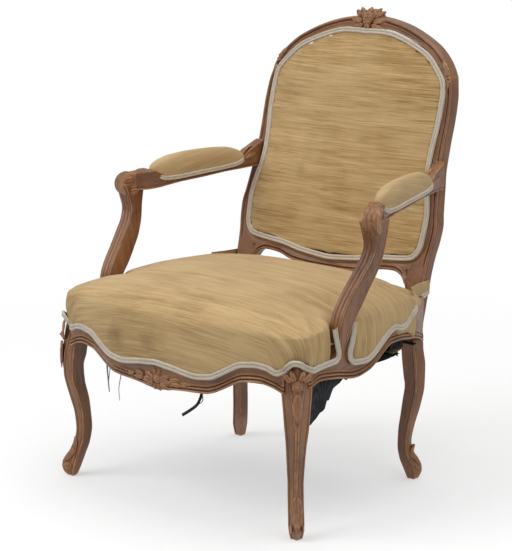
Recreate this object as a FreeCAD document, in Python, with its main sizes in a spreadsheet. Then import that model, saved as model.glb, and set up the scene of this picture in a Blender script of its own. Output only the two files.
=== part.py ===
import FreeCAD, Part
import math
import os
import re
import Sketcher
from FreeCAD import Placement, Rotation, Vector

# Upholstered armchair with cabriole legs, a serpentine seat frame and a raked cartouche back.
# +Z is up, the front faces -Y, and the floor is at zero. Sizes are in millimetres.
# The origin lies on the floor, midway between the seat's foremost and the back's hindmost point.

SIZES = {
    # Where the legs stand
    "front_leg_reach": 314, "front_leg_front": 285,
    "rear_leg_reach": 245, "rear_leg_back": 177,
    # Seat frame
    "rail_top": 372, "ledge_height": 302, "rail_thick": 30, "ledge_thick": 16,
    "frame_front": 288, "bow_front": 343, "frame_half_front": 326, "frame_half_middle": 316,
    "frame_half_rear": 262, "frame_back": 190, "back_rail_thick": 26, "back_rail_bottom": 290,
    "front_rail_drop": 254, "front_rail_lift": 304, "side_rail_drop": 290,
    "side_rail_lift": 333,
    # Fabric line of the seat, where the braid runs
    "line_centre": 305, "line_dip": 293, "line_rise": 334, "line_knee": 346,
    "side_line_dip": 315, "side_line_rise": 360,
    # Back
    "back_line": 202, "rake_level": 500, "back_rake": 14.84, "back_thick": 29,
    "stile_top": 835, "crest_height": 949, "ornament_height": 965, "ornament_half": 37,
    "back_bottom": 436, "back_top": 922, "frame_lap": 20,
    # Arms
    "arm_height": 620, "scroll_level": 598, "scroll_size": 27, "scroll_front": 84,
    "scroll_reach": 337, "support_foot": 163,
    # Joints between the wooden pieces
    "tenon_length": 16, "tenon_thick": 10, "tenon_height": 34, "joint_gap": 0.2,
    # Upholstery
    "fabric_thick": 3, "cloth_gap": 0.3, "braid_width": 12.5, "braid_thick": 2.4,
    "seat_crown": 446, "seat_bulge": 3, "bulge_level": 388, "seat_back": 168,
    "canvas_thick": 1, "web_width": 50, "web_thick": 2, "spring_size": 34,
    "back_crown": 22, "back_braid_thick": 8,
    "pad_rise": 39,
}

document = FreeCAD.newDocument("Fauteuil")
sheet = document.addObject("Spreadsheet::Sheet", "Sizes")
for row, (alias, value) in enumerate(SIZES.items(), start=1):
    sheet.set("A%d" % row, alias)
    sheet.set("B%d" % row, str(value))
    sheet.setAlias("B%d" % row, alias)
document.recompute()

UPRIGHT = Rotation(Vector(1, 0, 0), 90)
SIDEWAYS = Rotation(Vector(0, 0, 1), 90) * UPRIGHT
WIDE = 800
pieces = {}


def bound(text):
    """An expression with each size's name turned into its cell in the sheet."""
    return re.sub(r"[a-z]+(?:_[a-z]+)+", r"Sizes.\g<0>", str(text))


def number(text):
    return float(sheet.evalExpression(bound(text)))


def flipped(path):
    """The path reflected in its upright axis and run backwards."""
    return [(point[0], "-(%s)" % point[1]) + point[2:] if point[0] == "via"
            else ("-(%s)" % point[0], point[1]) for point in reversed(path)]


def outline(name, path, rotation=Rotation()):
    """A closed sketch through corners (across, up), with ("via", across, up) on a curved side."""
    sketch = document.addObject("Sketcher::SketchObject", name)
    sketch.Placement = Placement(Vector(), rotation)
    corners = [index for index, point in enumerate(path) if point[0] != "via"]
    constraints = []
    for index in corners:
        follower = path[(index + 1) % len(path)]
        curved = follower[0] == "via"
        last = path[(index + 2) % len(path)] if curved else follower
        start, end = [Vector(number(point[0]), number(point[1])) for point in (path[index], last)]
        if curved:
            middle = Vector(number(follower[1]), number(follower[2]))
            clockwise = (middle - start).cross(end - middle).z < 0
            arc = Part.Arc(end, middle, start) if clockwise else Part.Arc(start, middle, end)
            edge = sketch.addGeometry(arc, False)
            first_end = 2 if clockwise else 1
            guide = sketch.addGeometry(Part.Point(middle), True)
            constraints.append((edge, first_end, path[index], guide, follower))
        else:
            edge = sketch.addGeometry(Part.LineSegment(start, end), False)
            constraints.append((edge, 1, path[index], None, None))
    for position, (edge, first_end, point, guide, middle) in enumerate(constraints):
        before, before_first = constraints[position - 1][:2]
        sketch.addConstraint(Sketcher.Constraint("Coincident", before, 3 - before_first, edge, first_end))
        pin(sketch, edge, first_end, point)
        if guide is not None:
            pin(sketch, guide, 1, middle[1:])
            sketch.addConstraint(Sketcher.Constraint("PointOnObject", guide, 1, edge))
    return sketch


def pin(sketch, edge, end, point):
    """Ties one point of a sketch to the sheet in both directions."""
    for kind, text in (("DistanceX", point[0]), ("DistanceY", point[1])):
        place = sketch.addConstraint(Sketcher.Constraint(kind, -1, 1, edge, end, number(text)))
        if "_" in str(text):
            sketch.setExpression("Constraints[%d]" % place, bound(text))


def grown(name, base, distance, corners="arcs"):
    """An outline moved outwards, or inwards where the distance is negative."""
    offset = document.addObject("Part::Offset2D", name)
    offset.Source = base
    offset.Value = number(distance)
    offset.setExpression("Value", bound(distance))
    offset.Join = {"arcs": 0, "sharp": 2}[corners]
    return offset


def board(name, base, direction, start, end):
    """An outline sawn out of a board that reaches from start to end along the direction."""
    solid = document.addObject("Part::Extrusion", name)
    solid.Base = base
    solid.DirMode = "Custom"
    solid.Dir = Vector(*direction)
    solid.Solid = True
    solid.setExpression("LengthFwd", bound(end))
    solid.setExpression("LengthRev", "-(%s)" % bound(start))
    return solid


def block(name, low, high):
    """A box between two corners."""
    box = document.addObject("Part::Box", name)
    for axis, size, near, far in zip("xyz", ("Length", "Width", "Height"), low, high):
        box.setExpression("Placement.Base.%s" % axis, bound(near))
        box.setExpression(size, bound("%s - (%s)" % (far, near)))
    return box


def common(name, *shapes):
    shared = document.addObject("Part::MultiCommon", name)
    shared.Shapes = list(shapes)
    return shared


def joined(name, *shapes):
    fused = document.addObject("Part::MultiFuse", name)
    fused.Shapes = list(shapes)
    return fused


def cut(name, base, *tools):
    for place, tool in enumerate(tools):
        result = document.addObject("Part::Cut", name if place == len(tools) - 1 else name + "_rough")
        result.Base = base
        result.Tool = tool
        base = result
    return base


def group(name, *solids):
    together = document.addObject("Part::Compound", name)
    together.Links = list(solids)
    return together


def mirrored(name, source):
    """The same shape on the chair's other side."""
    mirror = document.addObject("Part::Mirroring", name)
    mirror.Source = source
    mirror.Normal = Vector(1, 0, 0)
    return mirror


def keep(label, solid):
    solid.Label = label
    pieces[label] = solid
    return solid


def pair(label, right):
    keep(label + "_right", right)
    keep(label + "_left", mirrored(label + "_left", right))


def raked(offset, level):
    """How far back the back's face lies at a height, moved back by an offset."""
    return "back_line + (%s) + (%s - rake_level) * tan(back_rake)" % (offset, level)


def slab(name, front, rear, low=380, high=990):
    """A leaning sheet as wide as the chair, between two distances behind the back's face."""
    path = [(raked(front, low), low), (raked(rear, low), low),
            (raked(rear, high), high), (raked(front, high), high)]
    return board(name, outline(name + "_side", path, SIDEWAYS), (1, 0, 0), -WIDE, WIDE)


# Seat plan: every rail, the cover and the braid follow this one outline
plan_sharp = outline("plan_sharp", [
    ("-frame_half_front", "-frame_front"), ("via", 0, "-bow_front"),
    ("frame_half_front", "-frame_front"), ("via", "frame_half_middle", -45),
    ("frame_half_rear", "frame_back"),
    ("-frame_half_rear", "frame_back"), ("via", "-frame_half_middle", -45)])
plan_core = grown("plan_core", plan_sharp, "-rail_thick", "sharp")
rail_core = board("rail_core", plan_core, (0, 0, 1), 0, WIDE)


def seat_prism(name, growth, low=0, high=WIDE):
    """The seat plan, this much outside the rails' outer face, as an upright prism."""
    return board(name, grown(name + "_plan", plan_core, "rail_thick + (%s)" % growth),
                 (0, 0, 1), low, high)


# Elevations of the rails' lower edges and of the fabric line above them
front_edge = [(0, "front_rail_drop"), ("via", 60, "front_rail_drop + 8"),
              (125, "front_rail_drop + 12"), ("via", 165, "front_rail_lift - 21"),
              (205, "front_rail_lift - 3"), ("via", 240, "front_rail_lift"),
              (268, "front_rail_lift - 6"), ("front_leg_reach - 30", "front_rail_lift - 14")]
front_line = [(0, "line_centre"), ("via", 50, "line_centre - 5"), (100, "line_dip"),
              ("via", 136, "line_dip + 4"), (170, "line_dip + 20"), ("via", 204, "line_rise - 4"),
              (240, "line_rise"), ("via", 268, "line_rise - 5"), (288, "line_rise - 14"),
              (298, "line_knee")]
side_edge = [("-(front_leg_front - 30)", "side_rail_drop + 8"),
             ("via", -230, "side_rail_drop + 16"), (-190, "side_rail_drop + 12"),
             ("via", -112, "side_rail_drop"), (-40, "side_rail_lift - 24"),
             ("via", 14, "side_rail_lift"), (80, "side_rail_lift - 6"),
             ("via", 130, "side_rail_lift - 16"), ("rear_leg_back - 10", "side_rail_lift - 36")]
side_line = [(-272, "line_knee"), (-264, "side_line_dip + 9"), ("via", -225, "side_line_dip + 16"),
             (-178, "side_line_dip + 17"), ("via", -110, "side_line_dip + 1"),
             (-42, "side_line_dip + 19"), ("via", 10, "side_line_rise"),
             (62, "side_line_rise - 6"), ("via", 92, "side_line_rise + 2"),
             (120, "side_line_rise + 20")]


def below_line(name, lift):
    """Everything under the seat's fabric line, raised by a lift."""
    def raise_path(path):
        return [point[:-1] + ("%s + (%s)" % (point[-1], lift),) for point in path]
    half = raise_path(front_line) + [(WIDE / 2, "line_knee + (%s)" % lift)]
    front = outline(name + "_front", flipped(half)[:-1] + half + [(WIDE / 2, 0), (-WIDE / 2, 0)],
                    UPRIGHT)
    side = outline(name + "_side", [(-272, 0)] + raise_path(side_line)
                   + [(240, "side_line_rise + 20 + (%s)" % lift), (240, 0)], SIDEWAYS)
    return joined(name, board(name + "_fore", front, (0, 1, 0), -WIDE / 2, -272),
                  board(name + "_flank", side, (1, 0, 0), -WIDE / 2, WIDE / 2))


# Front legs: one cabriole template sawn from two faces, and its outer corner eased
def front_leg():
    """Outer and inner curves are offsets from the leg's axis; the foot turns out into a toe."""
    template = [(-12.5, 0), (8, 0), ("via", 16.6, 20), (9, 39), ("via", -6.7, 100), (1, 168),
                ("via", 12.6, 240), (9.5, 300), (1, "line_knee - 4"), (1, "rail_top"),
                (-30, "rail_top"), (-30, 280), ("via", -25.5, 228), (-32.2, 167),
                ("via", -35.7, 108), (-25.8, 49), ("via", -18.5, 22)]
    across = [("front_leg_reach + (%s)" % point[-2], point[-1]) for point in template]
    along = [("-front_leg_front - (%s)" % point[-2], point[-1]) for point in template]
    for place, point in enumerate(template):
        if point[0] == "via":
            across[place] = ("via",) + across[place]
            along[place] = ("via",) + along[place]
    faces = [board("front_leg_face", outline("front_leg_face_path", across, UPRIGHT),
                   (0, 1, 0), -WIDE, WIDE),
             board("front_leg_flank", outline("front_leg_flank_path", along, SIDEWAYS),
                   (1, 0, 0), -WIDE, WIDE)]
    ridge = outline("front_leg_ridge_path", [
        (-60, 0), (14, 0), ("via", 21, 22), (10, 39), ("via", -12, 102), (-1, 168),
        ("via", 16, 250), (11, 298), (1, "line_knee - 4"), (1, "rail_top"), (-60, "rail_top")],
        Rotation(Vector(0, 0, 1), -45) * UPRIGHT)
    ridge.setExpression("Placement.Base.x", bound("front_leg_reach"))
    ridge.setExpression("Placement.Base.y", bound("-front_leg_front"))
    corner = board("front_leg_ridge", ridge, (1, 1, 0), -60, 60)
    return common("front_leg_blank", corner, *faces)


def grow_box(corners, gap):
    """A box's two corners moved apart by a gap all round."""
    low, high = corners
    return (["%s - %s" % (near, gap) for near in low], ["%s + %s" % (far, gap) for far in high])


def tongue(name, corners):
    return block(name, *corners)


def mortise(name, corners):
    """The hole for a tongue, wider by the gap of a glued joint."""
    return block(name, *grow_box(corners, "joint_gap"))


tongue_rise = ("rail_top - 14 - tenon_height", "rail_top - 14")
front_tongue = [("front_leg_reach - 34", "-front_leg_front + 1", tongue_rise[0]),
                ("front_leg_reach - 30 + tenon_length", "-front_leg_front + 1 + tenon_thick",
                 tongue_rise[1])]
side_front_tongue = [("front_leg_reach - 2 - tenon_thick",
                      "-front_leg_front + 30 - tenon_length", tongue_rise[0]),
                     ("front_leg_reach - 2", "-front_leg_front + 34", tongue_rise[1])]
side_rear_tongue = [("rear_leg_reach - tenon_thick", "rear_leg_back - 30", tongue_rise[0]),
                    ("rear_leg_reach", "rear_leg_back - 20 + tenon_length", tongue_rise[1])]
back_tongue = [("rear_leg_reach - 34", "frame_back - 8 - tenon_thick", tongue_rise[0]),
               ("rear_leg_reach - 30 + tenon_length", "frame_back - 8", tongue_rise[1])]

pair("front_leg", cut("front_leg", front_leg(), mortise("front_mortise", front_tongue),
                      mortise("side_front_mortise", side_front_tongue)))


# Back frame: one cartouche outline carries the opening, the padding and its braid
upper_half = [(0, "back_top"), ("via", 73, "back_top - 2"), (126, "back_top - 17"),
              ("via", 178, "back_top - 41"), (214, "back_top - 75"),
              ("via", 231, "back_top - 100"), (235, "back_top - 130"),
              ("via", 231, 705), (231, 645), ("via", 241, 595), (247, 545),
              ("via", 246, 505), (238, 478), ("via", 228, 464), (208, 459),
              ("via", 104, "back_bottom + 8"), (0, "back_bottom")]
pad_line = outline("pad_line", upper_half[:-1] + flipped(upper_half)[:-1], UPRIGHT)


def back_prism(name, growth):
    """The padding's outline, this much larger, as a prism from front to back."""
    path = pad_line if growth == "0" else grown(name + "_path", pad_line, growth)
    return board(name, path, (0, 1, 0), -WIDE, WIDE)


opening = back_prism("back_opening", "-frame_lap")
frame_slab = slab("frame_slab", "0", "back_thick")

# Rear leg and stile in one piece, sawn from the front and from the side
post_front = [(-11, 0), (12, 0), ("via", 15.5, 18), (5.3, 45), ("via", -1, 78), (11.7, 159),
              ("via", 18.2, 225), (14.5, 290), ("via", 12, 360), (13, 430), ("via", 21.5, 515),
              (11, 606), ("via", 5, 680), (6, 750), ("via", 1.5, 800), (-6, "stile_top"),
              (-50, "stile_top"), (-50, 480), (-40, 480), (-40, 424), ("via", -31, 414),
              (-27, 398), (-27, 340), (-23, 280), ("via", -18, 205), (-23, 138),
              ("via", -26, 90), (-23.7, 46), ("via", -18.5, 22)]
post_side = [(-11, 0), (12, 0), ("via", 15.5, 18), (5.3, 45), ("via", -1, 78), (11.7, 159),
             ("via", 17.6, 215), (17, 290)]


def rear_post():
    across = [(("via",) if point[0] == "via" else ())
              + ("rear_leg_reach + (%s)" % point[-2], point[-1]) for point in post_front]
    along = [(("via",) if point[0] == "via" else ())
             + ("rear_leg_back + (%s)" % point[-2], point[-1]) for point in post_side]
    along += [("via", "rear_leg_back + 18.5", 345), (raked("back_thick", 400), 400),
              (raked("back_thick", "stile_top"), "stile_top"),
              (raked("0", "stile_top"), "stile_top"), (raked("0", 350), 350),
              ("rear_leg_back - 21", 280), ("via", "rear_leg_back - 17", 205),
              ("rear_leg_back - 23", 138), ("via", "rear_leg_back - 26", 90),
              ("rear_leg_back - 23.7", 46), ("via", "rear_leg_back - 18.5", 22)]
    return cut("rear_post_blank",
               common("rear_post_rough",
                      board("rear_post_face", outline("rear_post_face_path", across, UPRIGHT),
                            (0, 1, 0), -WIDE, WIDE),
                      board("rear_post_flank", outline("rear_post_flank_path", along, SIDEWAYS),
                            (1, 0, 0), -WIDE, WIDE)), opening)


crest_tongue = [("rear_leg_reach - 22 - 6", raked("8", "stile_top"), "stile_top - 4"),
                ("rear_leg_reach - 22 + 6", raked("8 + tenon_thick", "stile_top"),
                 "stile_top + 16")]
lower_tongue = [("rear_leg_reach - 44", raked("12", 448), 440),
                ("rear_leg_reach - 24", raked("12 + tenon_thick / 2", 448), 458)]
arm_tongue = [("rear_leg_reach - 8", raked("-16", 630), 619),
              ("rear_leg_reach + 2", raked("14", 630), 641)]

post_blank = rear_post()
post_body = joined("rear_post_joined", post_blank, tongue("crest_tongue", crest_tongue))
pair("rear_post", cut("rear_post", post_body, mortise("side_rear_mortise", side_rear_tongue),
                      mortise("back_mortise", back_tongue), mortise("lower_mortise", lower_tongue),
                      mortise("arm_mortise", arm_tongue)))

crest_half = [(0, "crest_height"), ("via", 55, "crest_height - 4"), (104, "crest_height - 17"),
              ("via", 166, "crest_height - 41"), (212, "crest_height - 77"),
              ("via", 231, "crest_height - 98"), (239, "stile_top")]
crest_path = outline("crest_path", crest_half + flipped(crest_half)[:-1], UPRIGHT)
ornament_half = [(0, "ornament_height"), ("via", 20, "ornament_height - 5"),
                 ("ornament_half", "ornament_height - 24"),
                 ("via", 26, "crest_height - 26"), (0, "crest_height - 30")]
ornament_path = outline("ornament_path", ornament_half[:-1] + flipped(ornament_half)[:-1], UPRIGHT)
crest_blank = cut("crest_blank", common("crest_board",
                  board("crest_face", crest_path, (0, 1, 0), -WIDE, WIDE), frame_slab), opening)
ornament = common("crest_ornament", board("ornament_face", ornament_path, (0, 1, 0), -WIDE, WIDE),
                  slab("ornament_slab", "-5", "back_thick - 10"))
right_crest_hole = mortise("crest_mortise", crest_tongue)
keep("crest_rail", cut("crest_rail", joined("crest_carved", crest_blank, ornament),
                       right_crest_hole, mirrored("left_crest_mortise", right_crest_hole)))

lower_half = [(0, "back_bottom - 18"), ("via", 76, "back_bottom - 15"), (120, "back_bottom - 6"),
              ("via", 160, "back_bottom + 2"), ("rear_leg_reach - 40", "back_bottom - 12"),
              ("rear_leg_reach - 40", 480)]
lower_path = outline("lower_rail_path", lower_half + flipped(lower_half)[:-1], UPRIGHT)
right_lower_tongue = tongue("lower_tongue", lower_tongue)
keep("lower_back_rail", joined("lower_back_rail", cut("lower_rail_blank", common("lower_rail_board",
     board("lower_rail_face", lower_path, (0, 1, 0), -WIDE, WIDE), frame_slab), opening),
     right_lower_tongue, mirrored("left_lower_tongue", right_lower_tongue)))


# Seat rails: a serpentine outer face over a straight ledge that the webbing is nailed under
face_depth = "-(rail_thick - ledge_thick)"
face_ring = cut("face_ring", seat_prism("face_outer", "0", "0", "rail_top"),
                seat_prism("face_inner", face_depth))
ledge_ring = cut("ledge_ring", seat_prism("ledge_outer", face_depth, "ledge_height", "rail_top"),
                 rail_core)


def front_rail():
    top = [("front_leg_reach - 30", "rail_top"), ("-(front_leg_reach - 30)", "rail_top")]
    face = outline("front_rail_path", flipped(front_edge)[:-1] + front_edge + top, UPRIGHT)
    room = block("front_rail_room", ("-(front_leg_reach - 30)", -400, 0),
                 ("front_leg_reach - 30", -250, "rail_top"))
    body = joined("front_rail_body",
                  common("front_rail_face", face_ring,
                         board("front_rail_saw", face, (0, 1, 0), -400, -250)),
                  common("front_rail_ledge", ledge_ring, room))
    right = tongue("front_tongue", front_tongue)
    return joined("front_seat_rail", body, right, mirrored("left_front_tongue", right))


keep("front_seat_rail", front_rail())
post_stop = board("post_stop", outline("post_stop_path", [
    ("rear_leg_back - 21", 280), (raked("0", 350), 350), (raked("0", 500), 500), (300, 500),
    (300, 280)], SIDEWAYS), (1, 0, 0), -WIDE, WIDE)
support_tongue = [(303, "-support_foot - 10", "rail_top - 26"),
                  (315, "-support_foot + 8", "rail_top + 4")]


def side_rail():
    ends = [("rear_leg_back - 10", "rail_top"), ("-(front_leg_front - 30)", "rail_top")]
    face = outline("side_rail_path", side_edge + ends, SIDEWAYS)
    room = block("side_rail_room", ("rear_leg_reach - 14", "-(front_leg_front - 30)", 0),
                 (400, "rear_leg_back - 10", "rail_top"))
    body = joined("side_rail_body",
                  common("side_rail_face", face_ring, board("side_rail_saw", face, (1, 0, 0), 0, 400)),
                  common("side_rail_ledge", ledge_ring, room))
    return joined("side_seat_rail", cut("side_rail_stopped", body, post_stop,
                  mortise("support_mortise", support_tongue)),
                  tongue("side_front_tongue", side_front_tongue),
                  tongue("side_rear_tongue", side_rear_tongue))


pair("side_seat_rail", side_rail())


def back_rail():
    half = [(0, "back_rail_bottom + 8"), ("via", 110, "back_rail_bottom + 6"),
            (225, "back_rail_bottom"), (225, "rail_top")]
    face = outline("back_rail_path", flipped(half)[:-1] + half, UPRIGHT)
    body = cut("back_rail_cut", board("back_rail_saw", face, (0, 1, 0),
               "frame_back - back_rail_thick", "frame_back"),
               post_blank, mirrored("left_post_blank", post_blank))
    right = tongue("back_tongue", back_tongue)
    return joined("back_seat_rail", body, right, mirrored("left_back_tongue", right))


keep("back_seat_rail", back_rail())


def corner_block(name, corner, across, along):
    """A glued triangular block in a corner of the seat frame, reaching this far both ways."""
    path = [corner, ("%s - %d" % (corner[0], across), corner[1]),
            (corner[0], "%s + (%d)" % (corner[1], along))]
    return board(name, outline(name + "_path", path), (0, 0, 1), "ledge_height", "rail_top - 8")


front_corner = corner_block("front_corner_block", ("front_leg_reach - 30", "-front_leg_front + 32"),
                            48, 48)
keep("corner_blocks", group("corner_blocks", front_corner,
                            mirrored("left_front_corner_block", front_corner)))


# Arms: sawn from above and from the side, each ending in a rolled scroll
def spread(share, offset):
    """A place this share of the way from the rear post out to the scroll, moved by an offset."""
    return "rear_leg_reach + %g * (scroll_reach - rear_leg_reach) + (%g)" % (share, offset)


def arm():
    above = outline("arm_above", [
        ("rear_leg_reach - 12", 260), ("rear_leg_reach + 14", 260), ("via", spread(0.19, 15), 165),
        (spread(0.41, 15), 75), ("via", spread(0.58, 15), 0), (spread(0.71, 16), -45),
        ("via", "scroll_reach", -78), ("scroll_reach + 12", -104),
        ("scroll_reach - 20", "-scroll_front - 24"), ("via", spread(0.83, -16), -72),
        (spread(0.7, -16), -38), ("via", spread(0.58, -15), 20), (spread(0.4, -15), 80),
        ("via", spread(0.19, -15), 165)])
    side = outline("arm_side", [
        (262, "arm_height - 12"), ("via", 150, "arm_height - 13"), (84, "arm_height - 20"),
        ("via", 10, "arm_height - 28"), (-58, "scroll_level - 14"),
        ("-scroll_front", "scroll_level - 16"), ("-scroll_front", "scroll_level + scroll_size - 1"),
        ("via", -60, "scroll_level + scroll_size + 3"), (-38, "arm_height + 3"),
        (-28, "arm_height - 6"), ("via", 80, "arm_height - 3"), (184, "arm_height + 5"),
        (192, "arm_height + 24"), ("via", 214, "arm_height + 34"), (262, "arm_height + 48")],
        SIDEWAYS)
    limb = common("arm_limb", board("arm_plank", above, (0, 0, 1), 0, WIDE),
                  board("arm_profile", side, (1, 0, 0), 0, WIDE))
    return cut("arm_blank", limb, slab("arm_stop", "0", 200, 380, 800))


def scroll():
    """The roll at the arm's end: a drum with an eye standing out of both faces."""
    turn = Rotation(Vector(0, 0, 1), 22) * Rotation(Vector(0, 1, 0), 90)
    drums = []
    for name, radius, width in (("scroll_drum", "scroll_size", 30),
                                ("scroll_eye", "scroll_size * 0.3", 36)):
        drum = document.addObject("Part::Cylinder", name)
        drum.setExpression("Radius", bound(radius))
        drum.Height = width
        offset = turn.multVec(Vector(0, 0, -width / 2))
        drum.Placement = Placement(Vector(), turn)
        drum.setExpression("Placement.Base.x", bound("scroll_reach - 3 + (%.3f)" % offset.x))
        drum.setExpression("Placement.Base.y", bound("-scroll_front + (%.3f)" % offset.y))
        drum.setExpression("Placement.Base.z", bound("scroll_level"))
        drums.append(drum)
    return joined("scroll", *drums)


def arm_support():
    """The console that carries the arm: a swept S from the side, flaring outwards upwards."""
    side = outline("support_side", [
        ("-support_foot - 23", "rail_top"), ("-support_foot + 15", "rail_top"),
        ("via", "-support_foot + 31", 406), ("-support_foot + 53", 430),
        ("via", "-support_foot + 79", 464), ("-support_foot + 101", 510),
        ("via", "-scroll_front + 28", 546), ("-scroll_front + 32", "scroll_level - 6"),
        ("-scroll_front - 22", "scroll_level - 6"), ("via", "-scroll_front - 11", 566),
        ("-scroll_front - 6", 541), ("via", "-scroll_front - 13", 514), (-125, 474),
        ("via", -158, 432)], SIDEWAYS)
    face = outline("support_face", [
        ("front_leg_reach - 17", "rail_top"), ("front_leg_reach + 10", "rail_top"),
        ("via", spread(0.8, 14), 450), ("scroll_reach + 8", 530),
        ("via", "scroll_reach + 12", 560), ("scroll_reach + 12", "scroll_level - 2"),
        ("scroll_reach - 19", "scroll_level - 2"), ("via", "scroll_reach - 19", 560),
        ("scroll_reach - 23", 530), ("via", spread(0.8, -14), 450)], UPRIGHT)
    return common("support_rough", board("support_profile", side, (1, 0, 0), 0, WIDE),
                  board("support_front", face, (0, 1, 0), -WIDE, WIDE))


top_tongue = [("scroll_reach - 8", "-scroll_front - 8", "scroll_level - 30"),
              ("scroll_reach + 2", "-scroll_front + 8", "scroll_level")]
arm_whole = joined("arm_whole", arm(), scroll(), tongue("arm_tongue", arm_tongue))
pair("arm", cut("arm", arm_whole, mortise("arm_top_mortise", top_tongue)))
pair("arm_support", joined("arm_support", cut("arm_support_cut", arm_support(), arm_whole),
                           tongue("top_tongue", top_tongue),
                           tongue("support_tongue", support_tongue)))


# Under the seat: webbing nailed below the ledge, springs on it, and a torn dust cover
def strip_row(name, count, along_x, low, high):
    strips = []
    for place in range(count):
        middle = (place - (count - 1) / 2) * (150 if along_x else 128)
        if along_x:
            corners = ((-WIDE / 2, "%s - 75 - web_width / 2" % middle, low),
                       (WIDE / 2, "%s - 75 + web_width / 2" % middle, high))
        else:
            corners = (("%s - web_width / 2" % middle, -WIDE / 2, low),
                       ("%s + web_width / 2" % middle, "frame_back - back_rail_thick", high))
        strips.append(block("%s_%d" % (name, place + 1), *corners))
    return common(name + "_trimmed", group(name + "_strips", *strips),
                  seat_prism(name + "_room", "-(rail_thick - ledge_thick) - 2", 0, WIDE))


cross_webs = strip_row("cross_web", 3, True, "ledge_height - web_thick", "ledge_height")
long_webs = strip_row("long_web", 4, False, "ledge_height - 2 * web_thick",
                      "ledge_height - web_thick")
keep("seat_webbing_across", cross_webs)
keep("seat_webbing_lengthwise", long_webs)


def dust_cover():
    sheet_low = "ledge_height - 2 * web_thick - canvas_thick"
    flat = common("dust_sheet", seat_prism("dust_room", "-(rail_thick - ledge_thick) - 2", 0, WIDE),
                  block("dust_blank", (-WIDE / 2, -WIDE / 2, sheet_low),
                        (WIDE / 2, "frame_back - back_rail_thick",
                         "ledge_height - 2 * web_thick")))
    tear = outline("dust_tear", [(150, -212), (205, -236), (262, -214), (276, -150), (248, -96),
                                 (214, -60), (184, -104), (196, -150)])
    return cut("dust_cover", flat, board("dust_hole", tear, (0, 0, 1), 0, WIDE))


keep("dust_cover", dust_cover())


def springs():
    """Nine springs in three rows between the webbing and the canvas, each as its envelope."""
    pitch = 150
    sides = 12
    coils = []
    for column in (-1, 0, 1):
        for line in (-1, 0, 1):
            name = "spring_%d_%d" % (column + 2, line + 2)
            rim = [("%.1f + spring_size * %.5f" % (column * pitch, math.cos(turn)),
                    "%.1f + spring_size * %.5f" % (line * pitch - pitch / 2, math.sin(turn)))
                   for turn in (2 * math.pi * step / sides for step in range(sides))]
            coils.append(board(name, outline(name + "_rim", rim), (0, 0, 1), "ledge_height",
                               "rail_top"))
    return group("seat_springs", *coils)


keep("seat_springs", springs())


# Seat cushion: walls drawn in below their bulge, a rim eased in two steps, and a shallow crown
def eased(name, plan, level, top, angle):
    """A prism that stands upright below a level and leans in above it."""
    prism = document.addObject("Part::Extrusion", name)
    prism.Base = plan
    prism.DirMode = "Custom"
    prism.Dir = Vector(0, 0, 1)
    prism.Solid = True
    prism.setExpression("LengthFwd", bound("%s - (%s)" % (top, level)))
    prism.LengthRev = 200
    prism.setExpression("TaperAngle", "-(%s)" % bound(angle))
    prism.setExpression("Placement.Base.z", bound(level))
    return prism


def seat_walls(name, growth):
    """The seat's sides, upright from the fabric line to the bulge and leaning in above it."""
    plan = grown(name + "_plan", plan_core, "rail_thick + seat_bulge + (%s)" % growth)
    return eased(name, plan, "bulge_level", "seat_crown + 2", "26")


def cushion(name, growth, sink, back, low, rimmed=False):
    """The seat's soft form at a growth beyond the rails, with its top sunk by the cloth over it."""
    across = outline(name + "_across", [
        (-360, "seat_crown - 34 - (%s)" % sink), ("via", 0, "seat_crown - (%s)" % sink),
        (360, "seat_crown - 34 - (%s)" % sink), (360, 0), (-360, 0)], UPRIGHT)
    along = outline(name + "_along", [
        (-380, "seat_crown - 34 - (%s)" % sink), ("via", -60, "seat_crown - (%s)" % sink),
        (260, "seat_crown - 26 - (%s)" % sink), (260, 0), (-380, 0)], SIDEWAYS)
    forms = [seat_walls(name + "_walls", growth),
             board(name + "_arch", across, (0, 1, 0), -WIDE / 2, WIDE / 2),
             board(name + "_slope", along, (1, 0, 0), -WIDE / 2, WIDE / 2),
             block(name + "_room", (-WIDE / 2, -WIDE / 2, low), (WIDE / 2, back, WIDE))]
    if rimmed:
        rim_plan = grown(name + "_rim_plan", plan_core,
                         "rail_thick + seat_bulge + 1 + (%s)" % growth)
        forms.append(eased(name + "_rim", rim_plan, "bulge_level + 26", "seat_crown + 2", "60"))
    return common(name, *forms)


notch_path = outline("support_notch_path", [
    ("-support_foot - 26", 200), ("-support_foot + 18", 200), ("-support_foot + 18", "rail_top"),
    (-98, 450), (-60, 540), (-170, 540), ("-support_foot - 26", 450)], SIDEWAYS)
support_notch = board("support_notch", notch_path, (1, 0, 0), "frame_half_rear + 32", WIDE)
post_notch = common("post_notch", board("post_notch_side", outline("post_notch_path", [
    ("rear_leg_back - 22", 200), ("rear_leg_back - 22", 280), (raked("-1", 350), 350),
    (raked("-1", 500), 500), (300, 500), (300, 200)], SIDEWAYS), (1, 0, 0), 0, WIDE),
    block("post_notch_room", ("rear_leg_reach - 29", 100, 200), (WIDE, 300, 500)))
notches = [support_notch, post_notch, mirrored("left_support_notch", support_notch),
           mirrored("left_post_notch", post_notch)]

canvas_room = block("canvas_room", (-WIDE / 2, -WIDE / 2, "rail_top"),
                    (WIDE / 2, "seat_back", "rail_top + canvas_thick"))
keep("spring_canvas", cut("spring_canvas", common("canvas_sheet", canvas_room,
     seat_prism("canvas_plan", "-2")), *notches))

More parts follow.
